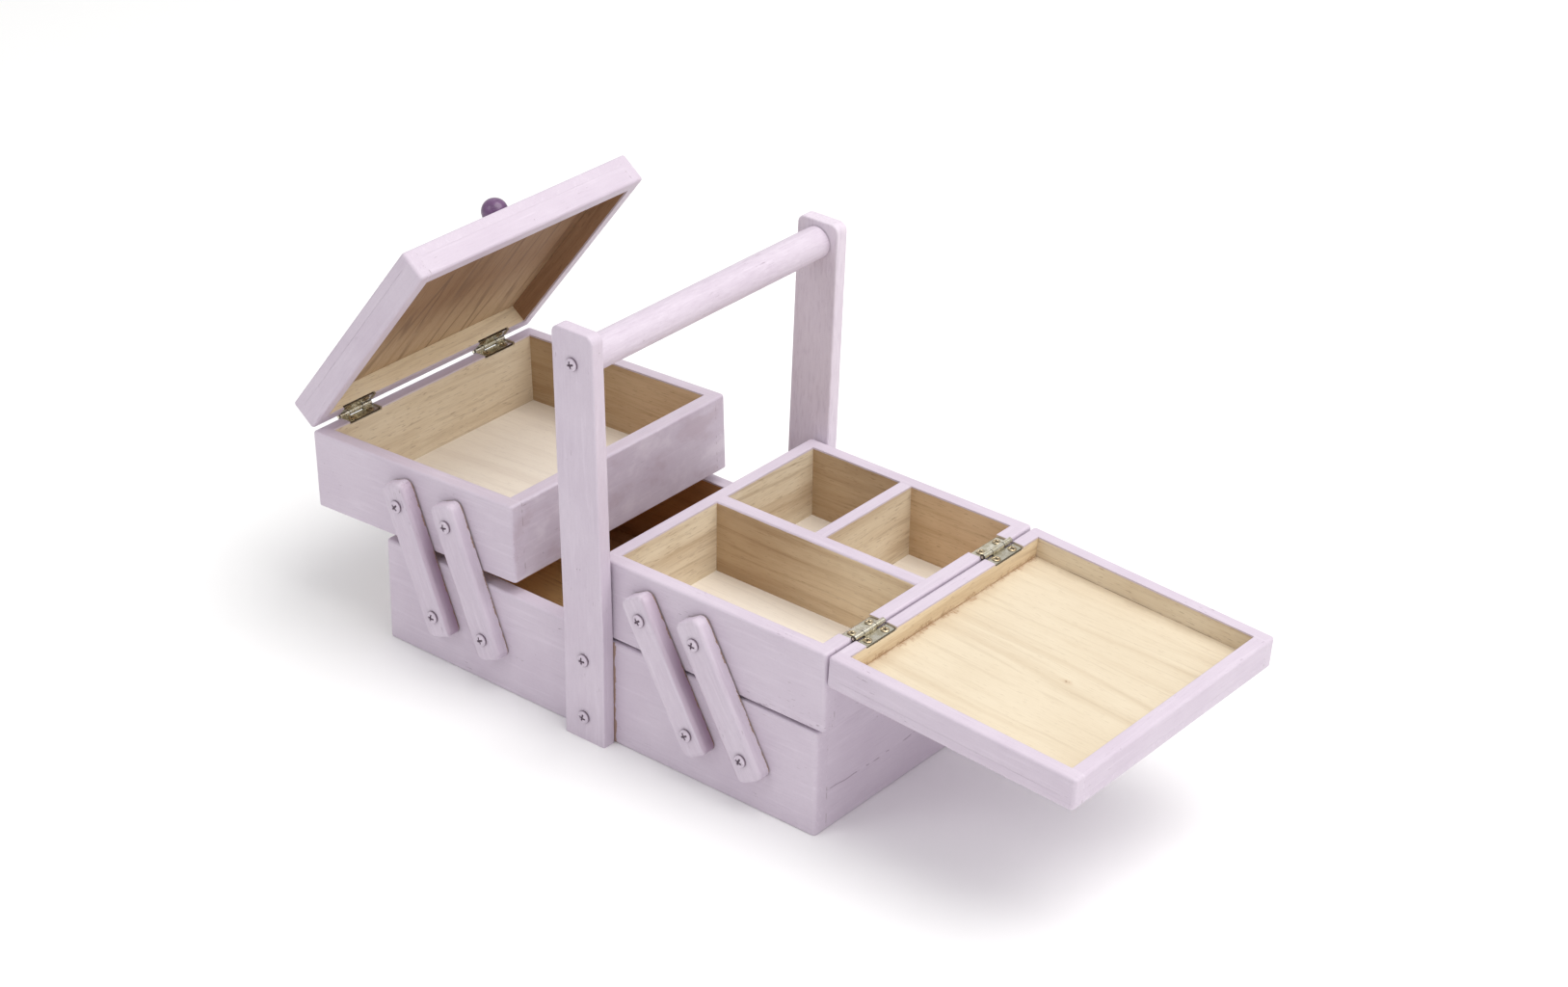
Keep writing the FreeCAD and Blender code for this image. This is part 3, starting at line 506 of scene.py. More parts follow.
# Depth of a leaf's seat below the rim, and the board left standing outside it.
SEAT_DEPTH = 2.2 * MM
SEAT_SHOULDER = 1.35 * MM


def bare_leaf_seats(graph, box, own, parts, tone):
    """Bare wood on the walls of the seats cut for the hinge leaves."""
    height = graph.math("ABSOLUTE", parts["Z"])
    across = graph.math("ABSOLUTE", parts["X"])
    under_rim = graph.math("LESS_THAN", height, box.half.z - 0.12 * MM)
    near_rim = graph.math("GREATER_THAN", height, box.half.z - SEAT_DEPTH)
    off_outside = graph.math("LESS_THAN", across, box.half.x - SEAT_SHOULDER)
    off_inside = graph.math("GREATER_THAN", across, box.half.x - box.wall + 0.1 * MM)
    seat = all_of(graph, under_rim, near_rim, off_outside, off_inside)
    return graph.mix(seat, tone, colour(0.66, 0.55, 0.41))


def panel_inside(graph, box, parts):
    """1 on the face of a lid's panel that its rails stand round."""
    off_seam = graph.math("SUBTRACT", parts["Z"], box.seam_height)
    return all_of(graph, within(graph, off_seam, SKIN), inside_walls(graph, box, parts, SLACK))


def rail_foot_stain(graph, box, own, parts, tone):
    """Brown torn fibres where the hinge rail stands on the panel, on both of them."""
    from_rail = graph.math("SUBTRACT", graph.math("ADD", parts["X"], box.half.x), box.wall)
    above = graph.math("ABSOLUTE", graph.math("SUBTRACT", parts["Z"], box.seam_height))
    away = graph.math("ADD", graph.math("MAXIMUM", from_rail, 0.0), above)
    strokes = graph.noise(graph.stretch(own, (260, 1300, 900)), 1.0, 3.0, 0.7)
    reach = graph.step(graph.noise(own, 170.0, 4.0, 0.75), 0.36, 0.70, 0.3 * MM, 3.6 * MM)
    near = graph.step(graph.math("SUBTRACT", away, reach), -1.6 * MM, 0.6 * MM, 1.0, 0.0)
    fuzz = graph.math("MULTIPLY", near, graph.step(strokes, 0.38, 0.58, 0.15, 0.75))
    crease = graph.step(away, 0.15 * MM, 0.60 * MM, 0.75, 0.0)
    broken = graph.step(graph.noise(own, 210.0, 3.0, 0.7), 0.38, 0.52, 0.25, 1.0)
    mark = graph.math("MAXIMUM", fuzz, graph.math("MULTIPLY", crease, broken))
    inside = inside_walls(graph, box, parts, 0.1 * MM)
    return graph.mix(graph.math("MULTIPLY", mark, inside), tone, colour(0.36, 0.21, 0.11))


def panel_edge_shade(graph, box, own, parts, tone):
    """Painted shade in brown over the panel along the feet of its rails, and a crack by the back one.
    """
    off_x = graph.math("SUBTRACT", box.half.x - box.wall, graph.math("ABSOLUTE", parts["X"]))
    off_y = graph.math("SUBTRACT", box.half.y - box.wall, graph.math("ABSOLUTE", parts["Y"]))
    nearest = graph.math("MINIMUM", off_x, off_y)
    reach = graph.step(graph.noise(own, 55.0, 3.0, 0.6), 0.3, 0.7, 1.5 * MM, 9.0 * MM)
    tinge = graph.step(graph.math("DIVIDE", nearest, reach), 0.0, 1.0, 0.24, 0.0)
    inside = panel_inside(graph, box, parts)
    tone = graph.mix(graph.math("MULTIPLY", tinge, inside), tone, colour(0.42, 0.29, 0.18))
    from_back = graph.math("SUBTRACT", box.half.y - box.wall, parts["Y"])
    crack = graph.step(graph.math("ABSOLUTE", from_back), 0.12 * MM, 0.45 * MM, 1.0, 0.0)
    broken = graph.step(graph.noise(own, 60.0, 3.0, 0.6), 0.42, 0.56, 0.05, 0.75)
    return graph.mix(all_of(graph, crack, broken, inside), tone, colour(0.16, 0.09, 0.05))


def plank_lines(graph, box, own, parts, tone):
    """Long dark growth lines over the whole panel."""
    drift = graph.noise(graph.stretch(own, (2.0, 42, 2), (4, 1, 6)), 1.0, 2.0, 0.5)
    line = graph.step(graph.math("ABSOLUTE", graph.math("SUBTRACT", drift, 0.5)),
                      0.004, 0.022, 1.0, 0.0)
    fades = graph.step(graph.noise(own, 22.0, 2.0), 0.35, 0.60, 0.15, 0.60)
    inside = panel_inside(graph, box, parts)
    return graph.mix(all_of(graph, line, fades, inside), tone, colour(0.13, 0.07, 0.04))


# Middle of the knot, from the middle of the lid.
KNOT_X = 11 * MM
KNOT_Y = -5 * MM


def knot(graph, box, own, parts, tone):
    """Small dark knot on the panel, in a ragged paler ring."""
    across = graph.add("CombineXYZ", None, {
        "X": graph.math("MULTIPLY", graph.math("SUBTRACT", parts["X"], KNOT_X), 0.6),
        "Y": graph.math("SUBTRACT", parts["Y"], KNOT_Y)}).outputs[0]
    reach = graph.add("VectorMath", {"operation": "LENGTH"}, {0: across}).outputs["Value"]
    ragged = graph.math("ADD", reach, graph.step(graph.noise(own, 700.0), 0.3, 0.7, 0.0, 0.8 * MM))
    inside = panel_inside(graph, box, parts)
    core = graph.step(ragged, 0.5 * MM, 1.2 * MM, 0.8, 0.0)
    ring = graph.step(ragged, 1.2 * MM, 2.6 * MM, 0.35, 0.0)
    tone = graph.mix(graph.math("MULTIPLY", ring, inside), tone, colour(0.55, 0.40, 0.26))
    return graph.mix(graph.math("MULTIPLY", core, inside), tone, colour(0.24, 0.14, 0.08))


def floor_material(name, box, wood_tint=CLEAN):
    """Bare wood with its grain along X. A floor with no stain is paler and more even."""
    material, graph, shader = new_material(name + "_wood")
    _, parts = box_spot(graph, box)
    grain = along_grain(graph, parts, "X", name)
    bare = look(graph, BARE, grain, faded(graph, parts["Y"], box.half.y, wood_tint))
    paleness = 0.60 if wood_tint == CLEAN else 0.0
    tone = graph.mix(paleness, bare["Color"], colour(0.96, 0.92, 0.87))
    finish_shader(graph, shader, tone, bare["Roughness"], bare["Height"], 0.10 * MM)
    nodes[name].data.materials[0] = material


def painted_material(name, grain_axis, lean=0.0, brushed=0.2, painted_lift=0.0, raw_side=0, shaded_side=0):
    """A piece that is painted all over, such as an arm; lean turns its grain about Y.

    brushed: how much the strokes of the brush show. painted_lift: share of paler paint, painted light
    on a piece that stands in shade.
    raw_side: 1 or -1 where an arm's edge towards +Y or -Y was left brown.
    shaded_side: 1 or -1 where an arm's side towards +X or -X gets painted shade.
    """
    material, graph, shader = new_material(name + "_paint")
    low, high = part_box(name)
    spot = graph.add("TexCoord").outputs["Object"]
    own = graph.add("Mapping", {"vector_type": "TEXTURE"}, {
        "Vector": spot, "Location": (low + high) / 2, "Rotation": (0, lean, 0)}).outputs["Vector"]
    parts = graph.add("SeparateXYZ", None, {"Vector": own}).outputs
    grain = along_grain(graph, parts, grain_axis, name)
    paint = look(graph, PAINT, grain)
    strokes = graph.noise(graph.stretch(grain, (130, 780, 780), (2, 5, 8)), 1.0, 3.0, 0.6, 0.3)
    pale_stroke = graph.step(strokes, 0.50, 0.66, 0.0, 0.60 * brushed)
    deep_stroke = graph.step(strokes, 0.34, 0.48, 0.50 * brushed, 0.0)
    # Painted light: a share of paler paint over the whole piece.
    tone = graph.mix(painted_lift, paint["Color"], colour(0.80, 0.72, 0.80))
    tone = graph.mix(pale_stroke, tone, colour(0.76, 0.69, 0.77))
    tone = graph.mix(deep_stroke, tone, colour(0.44, 0.35, 0.44))
    if raw_side:
        depth = (high.y - low.y) / 2
        from_wall = graph.math("SUBTRACT", depth, graph.math("MULTIPLY", parts["Y"], raw_side))
        tone = arm_sides(graph, own, parts, from_wall, shaded_side, tone)
    height = graph.math("ADD", paint["Height"], graph.math("MULTIPLY", strokes, 0.5 * brushed))
    finish_shader(graph, shader, tone, paint["Roughness"], height, 0.14 * MM)
    nodes[name].data.materials[0] = material


def arm_sides(graph, own, parts, from_wall, shaded_side, tone):
    """Painted shade on one side of an arm: a mauve darkening where the next arm shadows it. Its edge
    next to the walls is left brown.

    The painted shade is deepest near the walls and at the arm's foot.
    """
    across = graph.math("MULTIPLY", parts["X"], shaded_side)
    side = graph.step(across, ARM_HALF_WIDTH - 2.2 * MM, ARM_HALF_WIDTH - 1.0 * MM)
    mauve_share = graph.step(from_wall, 0.5 * MM, 5.5 * MM, 0.80, 0.42)
    downwards = graph.step(parts["Z"], -5 * MM, 25 * MM, 1.0, 0.5)
    # Painted shade: mauve over the chosen side, deeper near the walls and at the foot.
    tone = graph.mix(all_of(graph, side, mauve_share, downwards), tone, colour(0.31, 0.185, 0.28))
    ragged = graph.step(graph.noise(own, 170.0, 3.0, 0.7), 0.40, 0.62, 0.15 * MM, 0.9 * MM)
    raw = graph.math("LESS_THAN", from_wall, ragged)
    return graph.mix(graph.math("MULTIPLY", raw, 0.85), tone, colour(0.30, 0.18, 0.10))


def dress_base():
    box = base_frame()
    room = (-box.half.z, box.half.z - PAINT_LIP)
    for end in ("front", "back"):
        board_material("base_" + end, box, "X", room, box.wall, DARK_BROWN, [upright_seam])
    for end in ("left_end", "right_end"):
        board_material("base_" + end, box, "Y", room, SEAM, DARK_BROWN, [end_board_crack])
    # The floor's fade is painted light and shade: lighter at the front, where light falls in, and
    # darker at the back.
    floor_material("base_floor", box, (TAWNY, DARK_BROWN, 0.35, 0.80))
    painted_material("upright_front", "Z", brushed=0.1)
    # The back upright gets painted light: paler paint for the shade it stands in.
    painted_material("upright_back", "Z", brushed=0.45, painted_lift=0.4)
    painted_material("handle_bar", "Y", brushed=0.35)


def dress_tray(side):
    box = tray_frame(side)
    prefix = side + "_tray_"
    room = (-box.half.z, box.half.z - PAINT_LIP)
    for end, wood_tint in (("front", HONEY), ("back", (BROWN, AMBER, -0.55, 0.65))):
        board_material(prefix + end, box, "X", room, box.wall, wood_tint, [worn_end])
    board_material(prefix + "inner", box, "Y", room, SEAM, CLEAN, [worn_end])
    board_material(prefix + "outer", box, "Y", room, SEAM, CLEAN, [bare_leaf_seats])
    floor_material(prefix + "floor", box)
    if side == "right":
        board_material(prefix + "long_divider", box, "X", room, SEAM, (BROWN, PALE, -0.55, 0.75))
        board_material(prefix + "short_divider", box, "Y", room, SEAM)


def dress_lid(side):
    """The right lid is pale inside, with a knot. The left one's panel is darkened with painted shade,
    most towards its free edge, and its back rail is a rusty brown.
    """
    box = lid_frame(side)
    prefix = side + "_lid_"
    if box.panel_up:
        room = (-box.half.z + PAINT_LIP, box.seam_height + SLACK)
    else:
        room = (box.seam_height - SLACK, box.half.z - PAINT_LIP)
    back_stain = CLEAN
    panel_tint = CLEAN
    hinge_marks = [bare_leaf_seats, rail_foot_stain]
    panel_marks = [panel_edge_shade, rail_foot_stain, knot]
    panel_wash = 0.55
    if side == "left":
        free_rail_is_ahead = box.board(prefix + "free_rail")[0].x > 0
        back_stain = RUSTY
        # The left panel's tint is painted shade: lighter by the hinge and darker towards the free
        # edge.
        panel_tint = (UMBER, DUSKY, -0.05, 0.95)
        if free_rail_is_ahead:
            panel_tint = (DUSKY, UMBER, -0.95, 0.05)
        hinge_marks = [bare_leaf_seats]
        panel_marks = [panel_edge_shade, plank_lines]
        panel_wash = 0.0
    board_material(prefix + "front_rail", box, "X", room, box.wall)
    board_material(prefix + "back_rail", box, "X", room, box.wall, back_stain)
    board_material(prefix + "free_rail", box, "Y", room, SEAM)
    board_material(prefix + "hinge_rail", box, "Y", room, SEAM, PALE, hinge_marks)
    board_material(prefix + "panel", box, "X", room, box.wall, panel_tint, panel_marks, panel_wash)


def dress_arms():
    for side in ("right", "left"):
        for place in ("inner", "outer"):
            for end in ("front", "back"):
                name = "%s_%s_arm_%s" % (side, place, end)
                low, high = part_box(name)
                along = (low + high) / 2 - PIVOTS[name]
                lean = math.atan2(along.x, along.z)
                # The left arm of each pair gets painted shade on its side that faces the other arm.
                is_left_of_pair = (side == "left") == (place == "outer")
                painted_material(name, "Z", lean, raw_side=1 if end == "front" else -1,
                                 shaded_side=1 if is_left_of_pair else -1)


# ---------------------------------------------------------------- screws, hinges and knobs

def solids_of(name):
    """Lowest and highest corners of each separate solid of a CAD node."""
    mesh = bmesh.new()
    mesh.from_mesh(nodes[name].data)
    bmesh.ops.remove_doubles(mesh, verts=mesh.verts, dist=0.001 * MM)
    waiting = set(mesh.verts)
    boxes = []
    while waiting:
        front = [waiting.pop()]
        solid = list(front)
        while front:
            for edge in front.pop().link_edges:
                for vertex in edge.verts:
                    if vertex in waiting:
                        waiting.remove(vertex)
                        front.append(vertex)
                        solid.append(vertex)
        boxes.append(corners_of([vertex.co for vertex in solid]))
    mesh.free()
    return sorted(boxes, key=lambda corners: tuple(round(part, 4) for part in corners[0]))


def add_loop(mesh, layer, spots, shade_amount):
    """Loop of points that get the same amount of painted shade."""
    loop = [mesh.verts.new(spot) for spot in spots]
    for vertex in loop:
        vertex[layer] = shade_amount
    return loop


def bridge(mesh, loops):
    """Faces from each loop to the next. A loop may be one point, repeated."""
    for near, far in zip(loops, loops[1:]):
        for index in range(len(near)):
            following = (index + 1) % len(near)
            corners = [near[index], near[following], far[following], far[index]]
            mesh.faces.new(list(dict.fromkeys(corners)))


def close_loft(mesh, loops):
    """Solid through the loops, with flat ends."""
    bridge(mesh, loops)
    mesh.faces.new(loops[0])
    mesh.faces.new(loops[-1][::-1])


def new_piece(name, mesh, body, material, cad_node):
    """Finish a bmesh as a piece that rides on a body, in place of a CAD node."""
    bmesh.ops.recalc_face_normals(mesh, faces=mesh.faces)
    data = bpy.data.meshes.new(name)
    mesh.to_mesh(data)
    mesh.free()
    data.materials.append(material)
    for polygon in data.polygons:
        polygon.use_smooth = True
    data.set_sharp_from_angle(angle=math.radians(42))
    piece = bpy.data.objects.new(name, data)
    bpy.context.scene.collection.objects.link(piece)
    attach(piece, body)
    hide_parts(cad_node)


def smooth(value, low, high):
    """0 up to low, 1 from high on, and a smooth rise between them."""
    share = min(max((value - low) / (high - low), 0.0), 1.0)
    return share * share * (3 - 2 * share)


class ScrewShape:
    """Sizes of a screw with a domed head and a cross recess."""

    def __init__(self, head_radius, head_height, cross, slot, depth, shank_radius, length):
        self.head_radius = head_radius
        self.head_height = head_height
        self.cross = cross
        self.slot = slot
        self.depth = depth
        self.shank_radius = shank_radius
        self.length = length

    def recess(self, across, along):
        """0 on the dome, 1 at the bottom of the cross."""
        deepest = 0.0
        for first, second in ((across, along), (along, across)):
            side = 1 - smooth(abs(first), self.slot * 0.3, self.slot * 0.75)
            reach = 1 - smooth(abs(second), self.cross * 0.25, self.cross * 0.55)
            deepest = max(deepest, side * reach)
        return deepest

    def top(self, radius, angle):
        """Height of the head's surface, and how deep in the recess it lies."""
        share = radius / self.head_radius
        dome = self.head_height * (1 - 0.62 * share ** 3.2)
        sunk = self.recess(radius * math.cos(angle), radius * math.sin(angle))
        return dome - self.depth * sunk, sunk


PAN_SCREW = ScrewShape(head_radius=3.05 * MM, head_height=1.85 * MM, cross=4.1 * MM,
                       slot=0.85 * MM, depth=1.0 * MM, shank_radius=1.45 * MM, length=12 * MM)
LEAF_SCREW = ScrewShape(head_radius=2.0 * MM, head_height=0.6 * MM, cross=2.8 * MM,
                        slot=0.65 * MM, depth=0.5 * MM, shank_radius=0.85 * MM, length=5.5 * MM)
# Height of the head of a CAD pan-head screw, from which its seat is found.
CAD_HEAD_HEIGHT = 1.9 * MM

# Painted shade at the foot and the rim of a screw's head, on the scale of its recess.
SEAT_SHADE = 0.8
RIM_SHADE = 0.5


def add_screw(mesh, layer, shape, place, twist, segments=64):
    """Screw along the place's Z: the seat of its head at z = 0, its shank below."""
    rings = 18
    turned = place @ Matrix.Rotation(twist, 4, "Z")
    angles = [math.tau * index / segments for index in range(segments)]

    def point(radius, angle, height, shade_amount):
        spot = (radius * math.cos(angle), radius * math.sin(angle), height)
        return add_loop(mesh, layer, [turned @ Vector(spot)], shade_amount)[0]

    loops = [[point(0.0, 0.0, *shape.top(0.0, 0.0))] * segments]
    for step in range(1, rings + 1):
        radius = shape.head_radius * step / rings
        rim_shade = RIM_SHADE * smooth(step / rings, 0.84, 1.0)
        loop = []
        for angle in angles:
            height, sunk = shape.top(radius, angle)
            loop.append(point(radius, angle, height, max(sunk, rim_shade)))
        loops.append(loop)
    # The foot of the head, then the shank, which is straight and then pointed.
    for radius, height, shade_amount in ((shape.head_radius * 0.97, 0.0, SEAT_SHADE),
                                  (shape.shank_radius, 0.0, 0.0),
                                  (shape.shank_radius, -shape.length * 0.7, 0.0),
                                  (shape.shank_radius * 0.15, -shape.length, 0.0)):
        loops.append([point(radius, angle, height, shade_amount) for angle in angles])
    bridge(mesh, loops)
    mesh.faces.new(loops[-1])


def painted_screws(name, body):
    """Detailed pan-head screws, painted over, where the CAD screws stand along Y."""
    mesh = bmesh.new()
    layer = mesh.verts.layers.float.new("recess")
    source = random.Random(name)
    for low, high in solids_of(name):
        outwards = -1 if abs(low.y) > abs(high.y) else 1
        seat_y = (low.y if outwards < 0 else high.y) - outwards * CAD_HEAD_HEIGHT
        seat = Vector(((low.x + high.x) / 2, seat_y, (low.z + high.z) / 2))
        place = Matrix.Translation(seat) @ Matrix.Rotation(-outwards * math.pi / 2, 4, "X")
        add_screw(mesh, layer, PAN_SCREW, place, source.uniform(0, math.pi / 2))
    new_piece(name + "_detailed", mesh, body, SCREW_PAINT, name)


def screw_paint_material():
    material, graph, shader = new_material("screw_paint")
    spot = graph.add("TexCoord").outputs["Object"]
    paint = look(graph, PAINT, spot)
    # Painted shade from the recess attribute darkens the cross, the rim and the foot of each head.
    depth = graph.add("Attribute", {"attribute_name": "recess"}).outputs["Fac"]
    chips = graph.step(graph.noise(spot, 900.0, 2.0), 0.58, 0.66)
    recess_shade = graph.math("MULTIPLY", graph.step(depth, 0.20, 0.65), 0.92)
    tone = graph.mix(recess_shade, paint["Color"], colour(0.10, 0.06, 0.09))
    tone = graph.mix(graph.math("MULTIPLY", chips, 0.25), tone, colour(0.36, 0.30, 0.34))
    finish_shader(graph, shader, tone, 0.42, paint["Height"], 0.08 * MM)
    return material


def metal_material(name, bright, dull, roughness):
    """Plated sheet metal with fine scratches and tarnish, and painted shade that darkens its recesses
    and gaps.
    """
    material, graph, shader = new_material(name)
    shader.inputs["Metallic"].default_value = 1.0
    spot = graph.add("TexCoord").outputs["Object"]
    cloud = graph.noise(spot, 320.0, 3.0, 0.6)
    scratches = graph.noise(graph.stretch(spot, (2600, 260, 2600)), 1.0, 2.0)
    depth = graph.add("Attribute", {"attribute_name": "recess"}).outputs["Fac"]
    tone = graph.mix(graph.step(cloud, 0.35, 0.68), bright, dull)
    tone = graph.mix(graph.step(scratches, 0.58, 0.72, 0.0, 0.35), tone, colour(0.30, 0.27, 0.22))
    # Painted shade from the recess attribute: dark cross recesses, knuckle gaps and leaf edges.
    tone = graph.mix(graph.step(depth, 0.2, 0.8, 0.0, 0.9), tone, colour(0.05, 0.04, 0.03))
    rough = graph.step(cloud, 0.3, 0.7, roughness, roughness + 0.14)
    finish_shader(graph, shader, tone, rough, scratches, 0.02 * MM)
    return material


SCREW_PAINT = screw_paint_material()
NICKEL = metal_material("hinge_nickel", colour(0.80, 0.76, 0.65), colour(0.54, 0.49, 0.36), 0.20)
BRASS = metal_material("screw_brass", colour(0.66, 0.55, 0.38), colour(0.36, 0.27, 0.16), 0.26)

# The hinge, measured from its axis: out along a leaf, and up from the rim.
LEAF_REACH = 7.0 * MM
LEAF_BACK = -1.65 * MM
LEAF_FACE = -0.85 * MM
LEAF_CORNER = 1.2 * MM
BARREL_OUTER = 1.35 * MM
BARREL_INNER = 0.72 * MM
HINGE_LENGTH = 20.0 * MM
KNUCKLE_HALF = 4.1 * MM
KNUCKLE_GAP = 0.12 * MM
# Painted shade at the ends of the knuckles and round the face of a leaf.
END_SHADE = 0.75
LEAF_SCREW_OUT = 4.2 * MM
LEAF_SCREW_HOP = 5.75 * MM


def prism(mesh, layer, outline, place, start, finish):
    """Solid with an outline in the place's XZ plane along its Y, with painted shade at its ends."""
    fade = 0.4 * MM
    levels = [(start, END_SHADE), (start + fade, 0.0), (finish - fade, 0.0), (finish, END_SHADE)]
    close_loft(mesh, [add_loop(mesh, layer, [place @ Vector((x, y, z)) for x, z in outline], shade_amount)
                      for y, shade_amount in levels])


def leaf_plate(mesh, layer, place):
    """Plate of a leaf with rounded far corners and a small bevel round its face, darkened by painted
    shade.
    """
    half = HINGE_LENGTH / 2
    near = BARREL_OUTER + 0.2 * MM

    def outline(inset):
        wide = half - inset
        bend_x = LEAF_REACH - inset - LEAF_CORNER
        spots = [(near + inset, -wide), (near + inset, wide)]
        for end, first_angle in ((1, 90), (-1, 0)):
            bend_y = end * (wide - LEAF_CORNER)
            for step in range(5):
                angle = math.radians(first_angle - 90 * step / 4)
                spots.append((bend_x + LEAF_CORNER * math.cos(angle),
                              bend_y + LEAF_CORNER * math.sin(angle)))
        return spots

    bevel = 0.15 * MM
    fade = 0.6 * MM
    levels = [(0.0, LEAF_BACK, END_SHADE), (0.0, LEAF_FACE - bevel, END_SHADE),
              (bevel, LEAF_FACE, END_SHADE), (fade, LEAF_FACE, 0.0)]
    close_loft(mesh, [add_loop(mesh, layer, [place @ Vector((x, y, z)) for x, y in outline(inset)],
                               shade_amount) for inset, z, shade_amount in levels])


def curl_outline():
    """Section of a knuckle: the leaf's sheet rolled round the pin, open by a slit.

    The sheet comes in below the pin. The angles are in degrees.
    """
    steps = 22
    start = -90
    turn = -318
    angles = [math.radians(start + turn * step / steps) for step in range(steps + 1)]
    outer = [(BARREL_OUTER * math.cos(angle), BARREL_OUTER * math.sin(angle)) for angle in angles]
    inner = [(BARREL_INNER * math.cos(angle), BARREL_INNER * math.sin(angle))
             for angle in reversed(angles)]
    root = BARREL_OUTER + 0.35 * MM
    return [(root, LEAF_BACK)] + outer + inner + [(root, LEAF_FACE)]


def hinge_leaves(side, part, box, facing, spans):
    """The two leaves on a tray or a lid, with their knuckles and brass screws.

    facing: 1 or -1 where the rim looks up or down along the box's Z. spans: where the
    knuckles are along the pin.
    """
    axis = PIVOTS[side + "_lid"]
    body = "%s_%s" % (side, part)
    towards = 1 if box.middle.x > axis.x else -1
    out = box.axes @ Vector((towards, 0, 0))
    up = box.axes @ Vector((0, 0, facing))
    leaf_node = "%s_hinge_%s_leaves" % (side, part)
    screw_node = "%s_%s_leaf_screws" % (side, part)
    plates = bmesh.new()
    screws = bmesh.new()
    plate_layer = plates.verts.layers.float.new("recess")
    screw_layer = screws.verts.layers.float.new("recess")
    source = random.Random(leaf_node)
    across = up.cross(out)
    for low, high in solids_of(leaf_node):
        origin = Vector((axis.x, (low.y + high.y) / 2, axis.z))
        place = Matrix.Translation(origin) @ Matrix((out, across, up)).transposed().to_4x4()
        leaf_plate(plates, plate_layer, place)
        for start, finish in spans:
            prism(plates, plate_layer, curl_outline(), place, start, finish)
        for hop in (-LEAF_SCREW_HOP, LEAF_SCREW_HOP):
            seat = place @ Matrix.Translation((LEAF_SCREW_OUT, hop, LEAF_FACE - 0.02 * MM))
            add_screw(screws, screw_layer, LEAF_SCREW, seat, source.uniform(0, math.pi / 2), 40)
    new_piece(leaf_node + "_rolled", plates, body, NICKEL, leaf_node)
    new_piece(screw_node + "_detailed", screws, body, BRASS, screw_node)


def add_hinges(side):
    """The tray's leaves have the outer knuckles of each hinge, the lid's the middle one."""
    tray = tray_frame(side)
    lid = lid_frame(side)
    end = HINGE_LENGTH / 2
    outer_spans = [(-end, -KNUCKLE_HALF - KNUCKLE_GAP), (KNUCKLE_HALF + KNUCKLE_GAP, end)]
    hinge_leaves(side, "tray", tray, 1, outer_spans)
    hinge_leaves(side, "lid", lid, -1 if lid.panel_up else 1, [(-KNUCKLE_HALF, KNUCKLE_HALF)])
    nodes[side + "_hinge_pins"].data.materials[0] = NICKEL


def knob_material():
    material, graph, shader = new_material("knob_paint")
    shader.inputs["Coat Weight"].default_value = 0.35
    shader.inputs["Coat Roughness"].default_value = 0.18
    spot = graph.add("TexCoord").outputs["Object"]
    drift = graph.noise(spot, 260.0, 3.0)
    turned = graph.noise(graph.stretch(spot, (350, 350, 2400)), 1.0, 2.0)
    tone = graph.mix(graph.step(drift, 0.3, 0.7), colour(0.155, 0.070, 0.175),
                     colour(0.105, 0.045, 0.120))
    tone = graph.mix(graph.step(turned, 0.60, 0.75, 0.0, 0.4), tone, colour(0.26, 0.15, 0.28))
    finish_shader(graph, shader, tone, graph.step(drift, 0.3, 0.7, 0.34, 0.46), turned, 0.04 * MM)
    return material


KNOB_PAINT = knob_material()
KNOB_RADIUS = 6.2 * MM
KNOB_RISE = 5.6 * MM
KNOB_NECK = 3.1 * MM


def knob_profile():
    """Radius and height of the turned knob from its foot ring up to its crown."""
    profile = [(0.0, 0.0), (KNOB_NECK + 0.5 * MM, 0.0), (KNOB_NECK + 0.7 * MM, 0.35 * MM),
               (KNOB_NECK + 0.3 * MM, 0.8 * MM)]
    lowest = math.radians(-50)
    for step in range(25):
        angle = lowest + (math.pi / 2 - lowest) * step / 24
        profile.append((KNOB_RADIUS * math.cos(angle), KNOB_RISE + KNOB_RADIUS * math.sin(angle)))
    return profile


def add_knob(side):
    """Knob turned on a lathe, standing on the lid's outer face."""
    name = side + "_knob"
    box = lid_frame(side)
    low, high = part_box(name)
    outwards = box.axes @ Vector((0, 0, 1 if box.panel_up else -1))
    cad_middle = (low + high) / 2
    height = (cad_middle - box.middle).dot(outwards)
    foot = cad_middle + outwards * (box.half.z - height)
    turn = outwards.to_track_quat("Z", "Y").to_matrix().to_4x4()
    place = Matrix.Translation(foot) @ turn
    segments = 56
    angles = [math.tau * index / segments for index in range(segments)]
    mesh = bmesh.new()
    loops = []
    for radius, rise in knob_profile():
        if radius < 0.001 * MM:
            loops.append([mesh.verts.new(place @ Vector((0, 0, rise)))] * segments)
            continue
        loops.append([mesh.verts.new(place @ Vector((radius * math.cos(angle),
                                                     radius * math.sin(angle), rise)))
                      for angle in angles])
    bridge(mesh, loops)
    new_piece(name + "_turned", mesh, side + "_lid", KNOB_PAINT, name)


def add_fittings():
    for name in ("left_base_pivot_screws", "right_base_pivot_screws", "upright_screws", "bar_screws"):
        painted_screws(name, "base")
    for side in ("right", "left"):
        painted_screws(side + "_tray_pivot_screws", side + "_tray")
        add_hinges(side)
        add_knob(side)


# ---------------------------------------------------------------- camera, floor and light

CAMERA_SPOT = Vector((0.87105, -1.01812, 0.82605))
CAMERA_TARGET = Vector((0.03811, 0.01168, 0.09848))
CAMERA_ROLL = math.radians(0.94)
CAMERA_LENS = 79.38
SENSOR_WIDTH = 36

LIGHT_TARGET = Vector((0.03, 0.0, 0.08))
WARM = (1.0, 0.99, 0.97)
NEUTRAL = (1.0, 0.99, 0.98)
COOL = (0.98, 0.98, 1.0)
SKY_STRENGTH = 0.57


